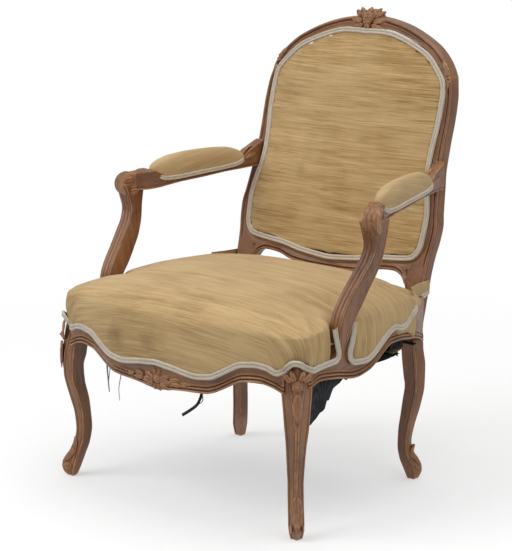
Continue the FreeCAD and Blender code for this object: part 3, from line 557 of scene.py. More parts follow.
def front_leg():
    z = np.linspace(0, LEG_TOP, 124)
    outer = read(z, [0, 8, 20, 33, 45, 58, 87, 102, 137, 168, 207, 240, 255, 272, 294, 326, 348, 368],
                 [7, 15, 19, 17, 10, 0, -10, -12, -9, -1, 9, 15, 16, 16, 12, 7, 0, -4])
    inner = read(z, [0, 3, 20, 49, 75, 108, 137, 167, 207, 239, 267, 320, 368],
                 [-12, -15, -23, -34, -43, -48, -46, -43, -35, -33, -40, -46, -50])
    edge = read(z, [0, 31, 58, 86, 119, 152, 181, 218, 250, 283, 320, 368],
                [-4, -10, -20, -28, -29, -26, -18, -8, -9, -13, -18, -24])
    half = read(z, [0, 12, 29, 60, 100, 140, 180, 220, 258, 295, 340, 368],
                [11, 14, 15.5, 15.5, 15.5, 17.5, 20, 24, 27, 30, 32, 33])
    way, side = unit([1, -1]), unit([1, 1])
    centre = np.array([314, -285])
    corners = diagonal(centre, way, side, outer, inner, edge, half)
    stations = four(*[(corner, z) for corner in corners])

    def relief(face, first, second, along):
        level = along * LEG_TOP
        from_ridge = np.where(face == 0, first, np.where(face == 3, second, 99))
        from_edge = np.where(face == 0, second, np.where(face == 3, first, 99))
        parting = 3.2 + np.clip(level - 215, 0, 120) * 0.17
        raised = np.clip((level - 66) / 20, 0, 1)
        out = bump(from_ridge, parting, 1.7, 1.5) * raised
        inside = (from_ridge < parting - 1.5) * np.clip((parting - from_ridge) / 4, 0, 1)
        out = out - inside * 1.8 * raised * (level < 345)
        out = out - bump(from_ridge, parting + 4.0, 1.6, 1.0) * raised * (from_edge > 5)
        out = out + bump(from_edge, 1.6, 1.7, 1.3) - bump(from_edge, 5.2, 1.3, 1.2)
        return out

    out3, cross = np.array([*way, 0]), np.array([*side, 0])
    face, foot = centre + 12.5 * way, np.array([*centre, 0])
    parts = [beam(stations, (34, 12, 12, 34), relief, 3)]
    parts.append(placed(flower(13.5, 6, 3.6), (face[0] - 0.5, face[1] + 0.5, 307), (0, 0, 1),
                        out3 + [0, 0, 0.12]))
    for turn, size in ((1.1, 22), (-1.1, 22), (0.45, 24), (-0.45, 24)):
        base = np.array([*face, 316]) + cross * turn * 11 - out3 * 1.5
        tilt = cross * turn * 0.9 + [0, 0, 1]
        parts.append(placed(leaf(size, 11, 2.6, -3.0, 2, 2.2, 16, 9), base, tilt, out3))
    parts.append(placed(leaf(58, 19, 3.4, 1.0, 4, 2.6, 34, 15), foot + 14.5 * out3 + [0, 0, 293],
                        (0.02, -0.02, -1), out3))
    path = np.array([-10.5, -6, 2, 11, 17.5, 19.5])
    spine = joined(centre + path[:, None] * way, [84, 66, 50, 38, 29, 19])
    parts.append(wrapped_leaf(spine, cross, out3, 24, 3.2, 5.5, 34, 17))
    for sign in (-1, 1):
        at = foot + out3 * 7 + cross * sign * 12.3 + [0, 0, 22]
        parts.append(coil(at, out3, 2.1, 60, (8.5, 1.2), (1.5, 0.9)))
    return together(*parts)


pair("front_leg", "_carved", front_leg(), WOOD[2])


# Moulding of the back frame's face, counted from its outer edge
def frame_moulding(from_outer, from_inner):
    return (lined(from_outer, (2.6, 2.2, 1.8), (7.0, 1.5, -2.6), (9.6, 1.3, 0.8))
            + lined(from_inner, (5.0, 3.0, -1.4), (0.8, 1.2, 0.8)))


# Rear posts: a swept leg below, a raked and moulded stile above, in one piece
def rear_post():
    z = np.concatenate([np.linspace(0, 330, 96), np.linspace(334, 838, 110)])
    outer = read(z, [0, 6, 17, 32, 45, 65, 83, 116, 159, 202, 245, 288, 321],
                 [11, 15, 19, 16, 5, -3, -4, 2, 14, 22, 23, 18, 18])
    inner = read(z, [0, 22, 46, 73, 105, 138, 170, 203, 225, 278, 320],
                 [-13, -22, -31, -35, -34, -30, -26, -22, -25, -30, -32])
    half = read(z, [0, 5, 34, 100, 200, 300, 330], [11, 13, 17, 17, 17, 18, 18])
    edge = (outer + inner) / 2 + 1
    way, side = unit([1, 1]), unit([1, -1])
    centre = np.array([245, 177])
    low = diagonal(centre, way, side, outer, inner, edge, half)
    reach = read(z, [330, 400, 430, 452, 475, 500, 530, 560, 606, 650, 700, 750, 790, 820, 838],
                 [258, 258, 258, 259, 261, 265, 267, 262, 256, 250.5, 250, 251, 249, 243, 239])
    inside = read(z, [330, 398, 411, 424, 434, 452, 460, 473, 486, 507, 550, 588, 658, 700, 731, 775,
                      807, 827, 838],
                  [218, 218, 213, 206, 202, 207, 219, 233, 241, 245, 249, 242, 230, 232, 236, 235,
                   235, 230, 223])
    front = rake_y(z)
    rear = front + BACK_THICK
    high = [joined(reach, rear), joined(reach, front), joined(inside, front), joined(inside, rear)]
    share = np.clip((z - 285) / 75, 0, 1)[:, None]
    share = share * share * (3 - 2 * share)
    stations = np.stack([joined(a * (1 - share) + b * share, z) for a, b in zip(low, high)], 1)

    def relief(face, first, second, along):
        level = z[np.round(along * (len(z) - 1)).astype(int)]
        upper = np.clip((level - 448) / 14, 0, 1)
        lower = (1 - upper) * (level < 345)
        middle = (level > 345) & (level < 436)
        front = (frame_moulding(first, second) * upper
                 + lined(first, (1.6, 1.7, 1.2), (5.0, 1.3, -1.1)) * lower
                 + lined(second, (1.8, 1.8, 1.2), (5.4, 1.5, -1.2)) * middle)
        return (face == 1) * front + (face == 0) * lined(second, (1.5, 1.7, 1.1), (5.2, 1.4, -1.0))

    out3, cross = np.array([*way, 0]), np.array([*side, 0])
    parts = [beam(stations, (26, 34, 16, 16), relief, 3)]
    for sign in (-1, 1):
        at = np.array([*centre, 21]) + out3 * 7 + cross * sign * 13.5
        parts.append(coil(at, out3, 2.0, 50, (7.5, 1.2), (1.4, 0.9)))
    path = np.array([2, -1, 8, 16, 19])
    spine = joined(centre + path[:, None] * way, [74, 58, 44, 31, 20])
    parts.append(wrapped_leaf(spine, cross, out3, 20, 2.6, 4.5, 32, 15))
    return together(*parts)


pair("rear_post", "_carved", rear_post(), WOOD[2])


# Crest rail and lower back rail, moulded as the stiles are
def back_member(outer, inner, count, near=0, far=BACK_THICK):
    """Stations between two lines in the back's leaning plane, given as (x, z)."""
    outer, inner = through(outer, count), through(inner, count)
    return four(*[(edge[:, 0], rake_y(edge[:, 1]) + depth, edge[:, 1])
                  for edge, depth in ((outer, far), (outer, near), (inner, near), (inner, far))])


def back_relief(face, first, second, along):
    outer = lined(second, (1.5, 1.7, 1.0), (5.2, 1.4, -0.9))
    return (face == 1) * frame_moulding(first, second) + (face == 0) * outer


def both_ways(half):
    return [(-x, z) for x, z in reversed(half) if x] + list(half)


crest_outer = both_ways([(0, 949), (23, 948), (64, 942), (104, 932), (143, 917), (181, 898),
                         (205, 880), (220, 865), (232, 849), (240, 834)])
crest_inner = both_ways([(0, 922), (30, 923), (73, 921), (126, 905), (155, 894), (178, 881),
                         (198, 864), (212, 850), (222, 838), (228, 830)])
crest = beam(back_member(crest_outer, crest_inner, 190), (18, 34, 12, 12), back_relief, 3)


def crest_carving():
    lean = np.array([0, -math.cos(RAKE), math.sin(RAKE)])
    rise = np.array([0, math.sin(RAKE), math.cos(RAKE)])
    base = np.array([0, float(rake_y(944)) - 1.5, 944.0])
    parts = [placed(flower(17, 6, 5.5), base + lean * 3.5, (1, 0, 0), lean + rise * 0.25)]
    for sign in (-1, 1):
        for reach, tall, width, tilt, size in ((9, 2, 15, 1.25, 29), (15, -8, 16, 0.25, 40),
                                               (10, -14, 13, -0.25, 46), (20, 4, 13, 0.75, 24)):
            along = np.array([sign, 0, 0]) + rise * tilt
            parts.append(placed(leaf(size, width, 4.2, -4.5, 3, 3.0, 22, 11),
                                base + np.array([sign * reach, 0, 0]) + rise * tall + lean * 0.5,
                                along, lean + rise * 0.1))
    parts.append(placed(leaf(22, 17, 5.0, -5, 2, 3, 16, 11), base + rise * 4 + lean * 1.0, rise, lean))
    parts.append(placed(leaf(28, 15, 4.0, -2, 3, 3, 18, 11), base - rise * 4 + lean * 2, -rise, lean))
    block = back_member([(-32, 936), (-30, 950), (-18, 959), (0, 963), (18, 959), (30, 950), (32, 936)],
                        [(-32, 934), (0, 930), (32, 934)], 40, 2, 20)
    parts.append(beam(block, (8, 14, 8, 14), None, 2))
    return together(*parts)


def shoulder_leaves():
    """Leaf and berries carved where the crest meets each stile."""
    parts = []
    for sign in (-1, 1):
        for at, way, size in (((236, 838), (-0.35, 0.94), 34), ((238, 832), (0.05, -1.0), 30),
                              ((231, 852), (-0.6, 0.8), 24)):
            origin = (sign * (at[0] - 4), float(rake_y(at[1])) - 2.0, at[1])
            along = (sign * way[0], way[1] * math.sin(RAKE), way[1] * math.cos(RAKE))
            parts.append(placed(leaf(size, 11, 3.0, -1.5, 3, 2.0, 18, 9), origin, along,
                                (sign * 0.35, -math.cos(RAKE), math.sin(RAKE))))
        for step in range(4):
            origin = (sign * (238 - step * 2.4), float(rake_y(828 + step * 8)) - 1.5, 828 + step * 8)
            parts.append(placed(button(2.6, 2.4, 5, 10), origin, (1, 0, 0), (0, -1, 0.26)))
    return together(*parts)


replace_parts(make("crest_rail_carved", together(crest, crest_carving(), shoulder_leaves()), WOOD[0]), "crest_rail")

lower_outer = both_ways([(0, 419), (37, 419), (76, 421), (106, 425), (137, 434), (170, 437),
                         (186, 435), (201, 427), (211, 413)])
lower_inner = both_ways([(0, 436), (32, 438), (81, 443), (119, 450), (145, 453), (192, 457),
                         (206, 459), (216, 462), (221, 466)])
lower = beam(back_member(lower_outer, lower_inner, 150), (18, 30, 12, 12), back_relief, 3)
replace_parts(make("lower_back_rail_carved", lower, WOOD[0]), "lower_back_rail")


# Seat rails: a double bead along the serpentine lower edge, a hollow above it
def rail_relief(face, first, second, along):
    return (face == 0) * lined(first, (2.4, 2.1, 1.9), (6.0, 1.3, -1.8), (9.0, 1.9, 1.5), (12.8, 1.6, -2.2),
                               (16.0, 1.6, 0.6), (23.0, 5.0, -1.2))


def rail(path, outward, low, high):
    """A rail's stations: its outer face follows a plan line between two lines of height."""
    back = path - outward * 28
    return four((path, low), (path, high), (back, high), (back, low))


def front_rail():
    x = np.linspace(-292, 292, 200)
    outward = unit(joined(2 * BOW * x / HALF_WIDTH ** 2, -np.ones_like(x)))
    low = read(np.abs(x), *FRONT_EDGE)
    high = read(np.abs(x), *FRONT_LINE) + 9
    parts = [beam(rail(joined(x, plan_front(x)), outward, low, high), (40, 8, 14, 12), rail_relief, 3)]
    parts.append(placed(flower(14, 6, 4.5), (0, float(plan_front(0)) - 1.0, 277), (0, 0, 1), (0, -1, 0.08)))
    for sign in (-1, 1):
        for reach, level, size, wide, way in ((9, 277, 30, 13, (1, 0.42)), (9, 273, 34, 14, (1, 0.02)),
                (8, 268, 28, 12, (1, -0.35)), (36, 279, 30, 11, (1, 0.22)), (38, 273, 32, 11, (1, -0.02)),
                (64, 276, 26, 9, (1, 0.12)), (3, 284, 18, 10, (0.35, 1)), (3, 268, 16, 10, (0.35, -1))):
            at = sign * reach
            along = (sign * way[0], 0.16 * reach / 100, way[1])
            parts.append(placed(leaf(size, wide, 3.8, -1.5, 3, 2.4, 20, 11),
                                (at, float(plan_front(at)) - 1.2, level), along, (0.0, -1, 0.05)))
        for step in range(4):
            at = sign * (88 + step * 6)
            parts.append(placed(button(2.5 - step * 0.3, 2.2, 5, 10),
                                (at, float(plan_front(at)) - 1.0, 279 + step * 0.6), (1, 0, 0), (0, -1, 0)))
    return together(*parts)


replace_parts(make("front_seat_rail_carved", front_rail(), WOOD[0]), "front_seat_rail")


def side_rail():
    y = np.linspace(-266, 168, 170)
    x = plan_side(y)
    outward = unit(joined(np.ones_like(y), -np.gradient(x, y)))
    high = read(y, *SIDE_LINE) + 8 + bump(y, -167, 17, 34)
    return beam(rail(joined(x, y), outward, read(y, *SIDE_EDGE), high), (44, 8, 14, 12), rail_relief, 3)


pair("side_seat_rail", "_moulded", side_rail(), WOOD[1])


# Arm supports: three flutes up the front, an S from the rail to the scroll
def arm_support():
    z = np.linspace(340, 600, 110)
    front = read(z, [340, 352, 370, 392, 420, 446, 474, 500, 526, 549, 572, 600],
                 [-170, -172, -176, -178, -172, -158, -137, -117, -98, -91, -97, -108])
    rear = read(z, [340, 352, 370, 392, 412, 435, 467, 494, 525, 557, 588, 600],
                [-162, -158, -150, -141, -130, -112, -91, -74, -62, -56, -50, -48])
    middle = read(z, [340, 372, 450, 530, 560, 600], [319, 316, 319, 329, 332, 333])
    half = read(z, [340, 360, 390, 450, 530, 600], [5, 10, 13, 13.5, 14, 15])
    stations = four((middle + half, rear, z), (middle + half, front, z), (middle - half, front, z),
                    (middle - half, rear, z))

    def relief(face, first, second, along):
        share = first / (first + second + 1e-6)
        flutes = 1.7 * np.abs(np.sin(math.pi * 3 * share)) - 1.2
        flank = (lined(second, (1.8, 1.9, 1.3), (5.8, 1.7, -1.3))
                 + lined(first, (1.8, 1.8, 0.9), (5.4, 1.5, -0.8)))
        inner = lined(first, (1.8, 1.9, 1.2), (5.8, 1.7, -1.2))
        return (face == 1) * flutes + (face == 0) * flank + (face == 2) * inner

    return beam(stations, (26, 36, 26, 16), relief, 2)


pair("arm_support", "_fluted", arm_support(), WOOD[2])


# Arms: an S in plan and in elevation that rolls over into a volute
SCROLL = np.array([334.0, -84.0, 598.0])


def volute(radius, width):
    """The arm's rolled end: fluted round its rim, a coil and an eye on both faces."""
    axis = np.array([math.cos(math.radians(22)), math.sin(math.radians(22)), 0])
    ahead = np.array([axis[1], -axis[0], 0])
    turn = circle(64)
    across = np.linspace(-1, 1, 29)
    flutes = 1.5 * np.abs(np.sin(1.5 * math.pi * (across + 1))) - 1.3
    flutes = np.where(np.abs(across) > 0.93, -1.2, flutes)
    rim = np.outer(np.cos(turn), ahead) + np.outer(np.sin(turn), (0, 0, 1))
    rings = [SCROLL + axis * place * width / 2 + (radius + flute) * rim
             for place, flute in zip(across, flutes)]
    parts = [capped(np.array(rings))]
    for sign in (-1, 1):
        parts.append(coil(SCROLL + axis * sign * (width / 2 - 0.2), ahead, 2.6, 110,
                          (radius - 3.4, 4.2), (2.3, 1.4), math.pi * 0.5, 8))
        parts.append(placed(button(4.6, 3.2, 7, 16), SCROLL + axis * sign * (width / 2 - 0.3), (0, 0, 1),
                            axis * sign))
    return together(*parts)


def arm():
    y = np.concatenate([np.linspace(246, 160, 40), np.linspace(156, -84, 84)])
    middle = read(y, [-104, -78, -45, 0, 80, 165, 232, 260], [331, 325, 310, 298, 281, 262, 250, 247])
    half = read(y, [-104, -84, -45, 0, 80, 165, 215, 250], [13, 14.5, 15.5, 15, 14.5, 14, 12.5, 12])
    top = read(y, [-100, -84, -60, -40, -28, 0, 80, 150, 180, 196, 206, 220, 234, 250],
               [618, 622, 625, 626, 618, 616, 618, 622, 628, 640, 647, 654, 661, 668])
    low = read(y, [-100, -84, -60, -35, -10, 30, 80, 150, 200, 230, 250],
               [590, 586, 585, 587, 591, 596, 600, 607, 609, 610, 608])
    stations = four((middle + half, y, low), (middle + half, y, top), (middle - half, y, top),
                    (middle - half, y, low))

    def relief(face, first, second, along):
        edge = (1.8, 1.8, 1.2), (5.2, 1.4, -1.1)
        top_edge = lined(second, (1.6, 1.7, 1.0), (4.8, 1.4, -0.9))
        crown = 1.6 * (1 - ((first - second) / (first + second + 1e-6)) ** 2)
        return ((face == 0) * (lined(first, *edge) + top_edge) + (face == 2) * lined(second, *edge)
                + (face == 1) * crown)

    parts = [beam(stations, (28, 22, 28, 16), relief, 3), volute(25.5, 31)]
    ends = (((252, 222, 655), (0.03, -1.0, -0.45), 40, 15), ((262, 226, 640), (0.15, -1.0, -0.20), 36, 12),
            ((240, 222, 640), (-0.02, -1.0, -0.25), 34, 12))
    for origin, along, size, wide in ends:
        parts.append(placed(leaf(size, wide, 3.6, -2.5, 3, 2.2, 20, 11), origin, along,
                            (np.sign(origin[0] - 251) * 0.9, -0.15, 0.75)))
    parts.append(placed(leaf(34, 26, 3.4, -2.0, 3, 2.5, 20, 13), (316, -44, 627), (0.28, -1, -0.04),
                        (0, 0, 1)))
    return together(*parts)


pair("arm", "_carved", arm(), WOOD[1])


# Upholstery: each pad is a closed form that cloth pressure swells, then its weave is laid on
def puffed(part, pinned, pressure, cap, voxel=0.005, frames=16):
    """Swells a closed form with cloth pressure; pinned gives which points stay."""
    verts, faces = part
    mesh = bpy.data.meshes.new("puff")
    mesh.from_pydata((verts * MM).tolist(), [], faces)
    body = link(bpy.data.objects.new("puff", mesh))
    remesh = body.modifiers.new("remesh", "REMESH")
    remesh.mode = "VOXEL"
    remesh.voxel_size = voxel
    evaluated = body.evaluated_get(bpy.context.evaluated_depsgraph_get())
    fine = bpy.data.meshes.new_from_object(evaluated)
    body.modifiers.clear()
    body.data = fine
    start = points_of(fine)
    held = pinned(start / MM)
    group = body.vertex_groups.new(name="held")
    for index in np.nonzero(held)[0].tolist():
        group.add([index], 1.0, "REPLACE")
    cloth = body.modifiers.new("cloth", "CLOTH")
    settings = cloth.settings
    settings.quality = 4
    settings.mass = 0.4
    settings.use_pressure = True
    settings.uniform_pressure_force = pressure
    settings.effector_weights.gravity = 0
    settings.vertex_group_mass = "held"
    cloth.point_cache.frame_end = frames
    for number in range(1, frames + 1):
        bpy.context.scene.frame_set(number)
    swollen = body.evaluated_get(bpy.context.evaluated_depsgraph_get())
    moved = points_of(swollen.data) - start
    size = np.linalg.norm(moved, axis=1, keepdims=True)
    moved = moved * np.minimum(1, cap * MM / np.maximum(size, 1e-9))
    faces = [tuple(face.vertices) for face in fine.polygons]
    bpy.context.scene.frame_set(1)
    bpy.data.objects.remove(body)
    return (start + moved) / MM, faces


def smoothed(piece):
    """One subdivision over the swollen form."""
    piece.modifiers.new("smooth", "SUBSURF").levels = 1


def seat_outline():
    """The seat's plan at the fabric, from the right rear corner round the front to the left."""
    side_y = np.arange(148, -270, -6.0)
    dent = 24 * np.clip((side_y + 197) / 12, 0, 1) * np.clip((-122 - side_y) / 12, 0, 1)
    right = joined(plan_side(side_y) + 2.0 - dent, side_y)
    front_x = np.arange(306, -307, -6.0)
    front = joined(front_x, plan_front(front_x) - 2.0)
    rear = np.array([(214, 171), (214, 154), (240, 152)])
    left = right[::-1] * [-1, 1]
    line = np.vstack([rear, right, front, left, rear[::-1] * [-1, 1],
                      joined(np.arange(-200, 201, 20.0), np.full(21, 171.0))])
    line = through(line, 420, closed=True)
    return eased(line, 7)


def fabric_line(line):
    x, y = np.abs(line[:, 0]), line[:, 1]
    side = read(y, *SIDE_LINE) + bump(y, -163, 16, 62)
    front = read(x, *FRONT_LINE)
    share = np.clip((x - 292) / 22, 0, 1) * np.clip((y + 300) / 20, 0, 1)
    level = front * (1 - share) + side * share
    knee = np.hypot(x - 318, y + 283)
    level = np.maximum(level, 352 - knee * 0.55)
    return np.where(y > 150, 376, np.where(y > 120, np.maximum(level, 378), level))


def crown(x, y):
    ahead = np.where(y < -40, 22 * ((y + 40) / 300) ** 2, 14 * ((y + 40) / 210) ** 2)
    return 446 - 25 * (np.abs(x) / 330) ** 2.2 - ahead


def seat_form():
    line = seat_outline()
    low = fabric_line(line)
    centre = np.array([0, -60.0])
    arms = line - centre
    reach = np.linalg.norm(arms, axis=1)

    def ring(inset, level):
        at = centre + arms * np.clip(1 - inset / reach, 0.004, 1.2)[:, None]
        return joined(at, level if np.ndim(level) else np.full(len(at), float(level)))

    rings = [ring(0.995 * reach, 380), ring(0.6 * reach, 380), ring(34.0, 380),
             ring(13.0, np.minimum(low + 6, 380))]
    side_level = np.where(line[:, 1] > 150, 392, 402)
    for step in np.linspace(0, 1, 12):
        inset = 1.5 - 5.0 * math.sin(math.pi * min(1, step * 1.04))
        rings.append(ring(inset, low + (side_level - low) * step))
    for turn in np.linspace(math.radians(14), math.radians(82), 6):
        inset = 1.5 + 44 * (1 - math.cos(turn))
        at = ring(inset, 0)
        top = crown(at[:, 0], at[:, 1])
        rings.append(ring(inset, side_level + (top - side_level) * math.sin(turn)))
    for share in (0.75, 0.6, 0.42, 0.24, 0.08, 0.0):
        inset = 45.5 + (reach - 45.5) * (1 - share)
        at = ring(inset, 0)
        rings.append(ring(inset, crown(at[:, 0], at[:, 1])))
    return capped(np.array(rings))


def seat_weave(points):
    """Weft runs across the seat and down its flanks; warp runs back to front and down the fall."""
    x, y, z = points.T
    drop = np.clip(424 - z, 0, None)
    aside = np.clip((np.abs(x) - 262) / 40, 0, 1)
    ahead = np.clip((-262 - y) / 40, 0, 1)
    total = np.maximum(aside + ahead, 1e-6)
    across = x + np.sign(x) * drop * aside / total
    along = y - drop * ahead / total
    return joined(across, along)


SEAT = velvet("velvet_seat", rubbed=0.22, marks=(((-0.12, -0.345, 0.345), 0.05, 0.45),
                                                 ((-0.02, -0.345, 0.350), 0.04, 0.35)))
seat = puffed(seat_form(), lambda p: p[:, 2] < 398, 2.2, 9)
cushion = make("seat_cushion", seat, SEAT, sharp=0, weave=seat_weave)
smoothed(cushion)
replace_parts(cushion, "seat_cover", "seat_stuffing")

INNER = [(0, 436), (32, 438), (81, 443), (119, 450), (145, 453), (192, 457), (221, 462), (235, 473),
         (243, 488), (246, 507), (248, 550), (242, 588), (234, 620), (230, 658), (232, 700), (235, 731),
         (236, 775), (235, 804), (229, 828), (214, 848), (178, 881), (126, 905), (73, 921), (30, 924)]


def back_line(inset, count=420):
    half = INNER + [(0, 923)]
    loop = through(half + [(-x, z) for x, z in reversed(half[1:-1])], count, closed=True)
    way = np.roll(loop, -1, 0) - np.roll(loop, 1, 0)
    normal = joined(-way[:, 1], way[:, 0]) / np.linalg.norm(way, axis=1)[:, None]
    return loop + eased(normal, 3) * inset


def leaning(flat, depth):
    """Points of the back's plane, moved out of its face by a depth."""
    x, z = flat[:, 0], flat[:, 1]
    depth = np.broadcast_to(np.asarray(depth, float), x.shape)
    return joined(x, rake_y(z) - depth * math.cos(RAKE), z + depth * math.sin(RAKE))


def back_form(edge, inset, swell, rear):
    line = back_line(inset)
    centre = np.array([0, 690.0])
    arms = line - centre
    rings = [leaning(centre + arms * 0.004, rear), leaning(centre + arms * 0.5, rear),
             leaning(centre + arms * 0.97, rear), leaning(centre + arms * 1.0, rear + 1)]
    for share in (1.0, 0.985, 0.965, 0.93, 0.88, 0.8, 0.7, 0.58, 0.44, 0.3, 0.16, 0.004):
        rings.append(leaning(centre + arms * share, edge + swell * (1 - share ** 5.0) ** 0.8))
    return capped(np.array(rings))


def back_weave(points):
    return points[:, [0, 2]]


BACK = velvet("velvet_back", marks=(((0.075, 0.215, 0.838), 0.026, 0.75), ((0.045, 0.215, 0.74), 0.020, 0.6),
                                    ((0.03, 0.215, 0.715), 0.014, 0.5), ((0.07, 0.215, 0.79), 0.03, 0.28),
                                    ((-0.10, 0.2, 0.62), 0.03, 0.25)))
pad = puffed(back_form(1.5, 9.0, 15.0, -1.5), lambda p: p[:, 1] > rake_y(p[:, 2]) - 3.5, 1.6, 6)
back = make("back_cushion", pad, BACK, sharp=0, weave=back_weave)
smoothed(back)
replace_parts(back, "back_cover", "back_stuffing")


def outside_back():
    line = back_line(4.0, 260)
    centre = np.array([0, 690.0])
    arms = line - centre
    rings = [leaning(centre + arms * share, -BACK_THICK - 0.8 - 3.0 * (1 - share ** 4))
             for share in (1.0, 0.99, 0.95, 0.88, 0.75, 0.6, 0.45, 0.3, 0.15, 0.01)]
    return grid(np.array(rings), around=True)


panel = make("outside_back_sheet", outside_back(), BACK, sharp=0, weave=back_weave)
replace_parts(panel, "outside_back_cover")


def arm_pad_form():
    y = np.concatenate([[199, 198, 195, 190, 183], np.linspace(174, -18, 40), [-26, -32, -36, -38.5, -39.5]])
    middle = read(y, [-45, 0, 80, 165, 205], [311, 299, 281.5, 263, 256])
    half = 18.6 * np.sqrt(np.clip(1 - np.clip((y - 168) / 32, 0, 1) ** 2, 0.004, 1)
                          * np.clip(1 - np.clip((-8 - y) / 32, 0, 1) ** 2, 0.004, 1))
    top = read(y, [-40, -37, -30, -15, 10, 60, 110, 150, 180, 195, 200],
               [628, 634, 641, 648, 655, 660, 661, 659, 651, 641, 636])
    low = read(y, [-40, -30, -15, 10, 60, 110, 160, 185, 200],
               [620, 607, 602, 602, 606, 610, 615, 622, 630])
    turn = circle(36)
    rings = []
    for place in range(len(y)):
        wide = np.sign(np.cos(turn)) * np.abs(np.cos(turn)) ** 0.75
        tall = np.where(np.sin(turn) > 0, np.sin(turn), -np.abs(np.sin(turn)) ** 0.35)
        level = low[place] + (top[place] - low[place]) * 0.42
        up = np.where(tall > 0, tall * (top[place] - level), tall * (level - low[place]))
        rings.append(joined(middle[place] + half[place] * wide, np.full(36, y[place]), level + up))
    return np.array(rings), y, middle, half, low


pad_rings, pad_y, pad_middle, pad_half, pad_low = arm_pad_form()
PAD = velvet("velvet_pads", rubbed=0.45)
pad = puffed(capped(pad_rings), lambda p: p[:, 2] < 622, 2.0, 3, voxel=0.0035)


def pad_weave(points):
    x, y, z = points.T
    return joined(y, 0.8 * z - x)


for name, part in both_sides("arm_pad", pad):
    piece = make(name, part, PAD, sharp=0, weave=pad_weave)
    smoothed(piece)
    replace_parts(piece, name.replace("pad", "pad_cover"), name.replace("pad", "pad_stuffing"))


# Gimp braid: two rolled cords with a stitched dip between them
def braid(path, outward, closed=False, width=12.5, rise=3.0):
    """The braid's form and the flat place of each of its points."""
    path = np.asarray(path, float)
    length = np.linalg.norm(np.diff(np.vstack([path, path[:1]]) if closed else path, axis=0), axis=1).sum()
    count = int(length / 1.25)
    both = through(np.hstack([path, outward]), count, closed)
    path = both[:, :3]
    tangent = heading(path, closed)
    outward = squared(both[:, 3:], tangent)
    across = np.cross(tangent, outward)
    t = np.linspace(-1, 1, 17)
    run = np.arange(count) * 1.25
    ripple = 0.34 * np.sin(2 * math.pi * (run[:, None] / 3.9 + t[None, :] * 0.55 * np.sign(t)[None, :]))
    hump = rise * (0.32 + 0.68 * np.abs(np.sin(math.pi * t)) ** 0.7) * np.ones((count, 1))
    stitch = (0.55 * np.sin(2 * math.pi * run / 5.0))[:, None] * np.exp(-(t / 0.12) ** 2)[None, :]
    height = hump + ripple * (np.abs(t) < 0.97) + stitch
    height[:, 0] = height[:, -1] = -1.2
    wave = 0.25 * np.sin(2 * math.pi * run / 3.9)[:, None]
    aside = t * width / 2 + wave * t * np.abs(t)
    points = path[:, None] + across[:, None] * aside[..., None] + outward[:, None] * height[..., None]
    flat = np.stack(np.broadcast_arrays(run[:, None], t * width / 2), -1).reshape(-1, 2)
    return grid(points, closed=closed), flat


def make_braid(name, braids, node):
    parts, flats = zip(*braids)
    flat = np.vstack(flats)
    piece = make(name, together(*parts), GIMP, sharp=0, weave=lambda points: flat)
    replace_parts(piece, node)


GIMP = gimp("gimp_cream")
ring = back_line(6.6, 500)
lean = np.array([0, -math.cos(RAKE), math.sin(RAKE)])
back_band = braid(leaning(ring, 2.6), np.tile(lean, (len(ring), 1)), closed=True, width=12.2, rise=3.4)
make_braid("back_gimp", [back_band], "back_braid")


def on_side(y, z, proud=5.0):
    return (float(plan_side(y)) + proud, y, z)


def seat_braids():
    """The front run from support to support, and one run behind each support."""
    climb = [on_side(*at) for at in ((-192, 404), (-188, 386), (-182, 366), (-179, 350), (-186, 340),
                                     (-200, 338), (-222, 337), (-244, 335), (-258, 334))]
    corner = [(326, -276, 342), (324, -289, 350), (313, -298, 351), (301, -300, 342), (292, -298, 334)]
    front = [(x, float(plan_front(x)) - 5.0, float(read(x, *FRONT_LINE)) + 6)
             for x in (280, 262, 240, 218, 200, 180, 160, 140, 120, 100, 75, 50, 25)]
    half = climb + corner + front
    run = half + [(0, -348, 311)] + [(-x, y, z) for x, y, z in reversed(half)]
    rear = [on_side(*at) for at in ((-126, 405), (-130, 386), (-136, 366), (-142, 348), (-140, 334),
        (-128, 325), (-108, 322), (-85, 321), (-62, 328), (-42, 340), (-20, 353), (0, 362), (20, 366),
        (42, 360), (62, 361), (85, 372), (112, 384))]
    rear += [(274, 136, 391), (267, 160, 394), (263, 182, 398), (259, 199, 402), (250, 206, 403)]
    braids = []
    for path in (run, rear, [(-x, y, z) for x, y, z in rear]):
        x, y = np.array(path).T[:2]
        aside = np.where(y > -250, 1, np.clip((np.abs(x) - 285) / 30, 0, 1)) * np.sign(x)
        ahead = np.clip((y - 196) / 8, 0, 1) - np.clip((-262 - y) / 25, 0, 1)
        braids.append(braid(path, joined(aside, ahead, np.full(len(x), 0.05))))
    return braids


make_braid("seat_gimp", seat_braids(), "seat_braid")


def pad_braid():
    """Round the foot of an arm pad, lifted at both ends."""
    keep = slice(3, len(pad_y) - 3)
    y, middle, half, low = pad_y[keep], pad_middle[keep], pad_half[keep], pad_low[keep]
    outer = joined(middle + half + 0.6, y, low + 5.0)
    inner = joined(middle - half - 0.6, y, low + 5.0)[::-1]
    front = np.array([[pad_middle[-1], -41.0, 624.0]])
    rear = np.array([[pad_middle[0], 201.0, 634.0]])
    path = np.vstack([outer, front, inner, rear])
    centre = joined(np.interp(path[:, 1], pad_y[::-1], pad_middle[::-1]), path[:, 1], path[:, 2])
    outward = path - centre
    outward[len(outer)] = (0.2, -1, 0.2)
    outward[-1] = (-0.2, 1, 0.2)
    return braid(eased(path, 2, 6), eased(outward, 2), closed=True, width=9.5, rise=2.4)


band, band_flat = pad_braid()
for name, part in both_sides("arm_pad_gimp", band):
    make(name, part, GIMP, sharp=0, weave=lambda points: band_flat)


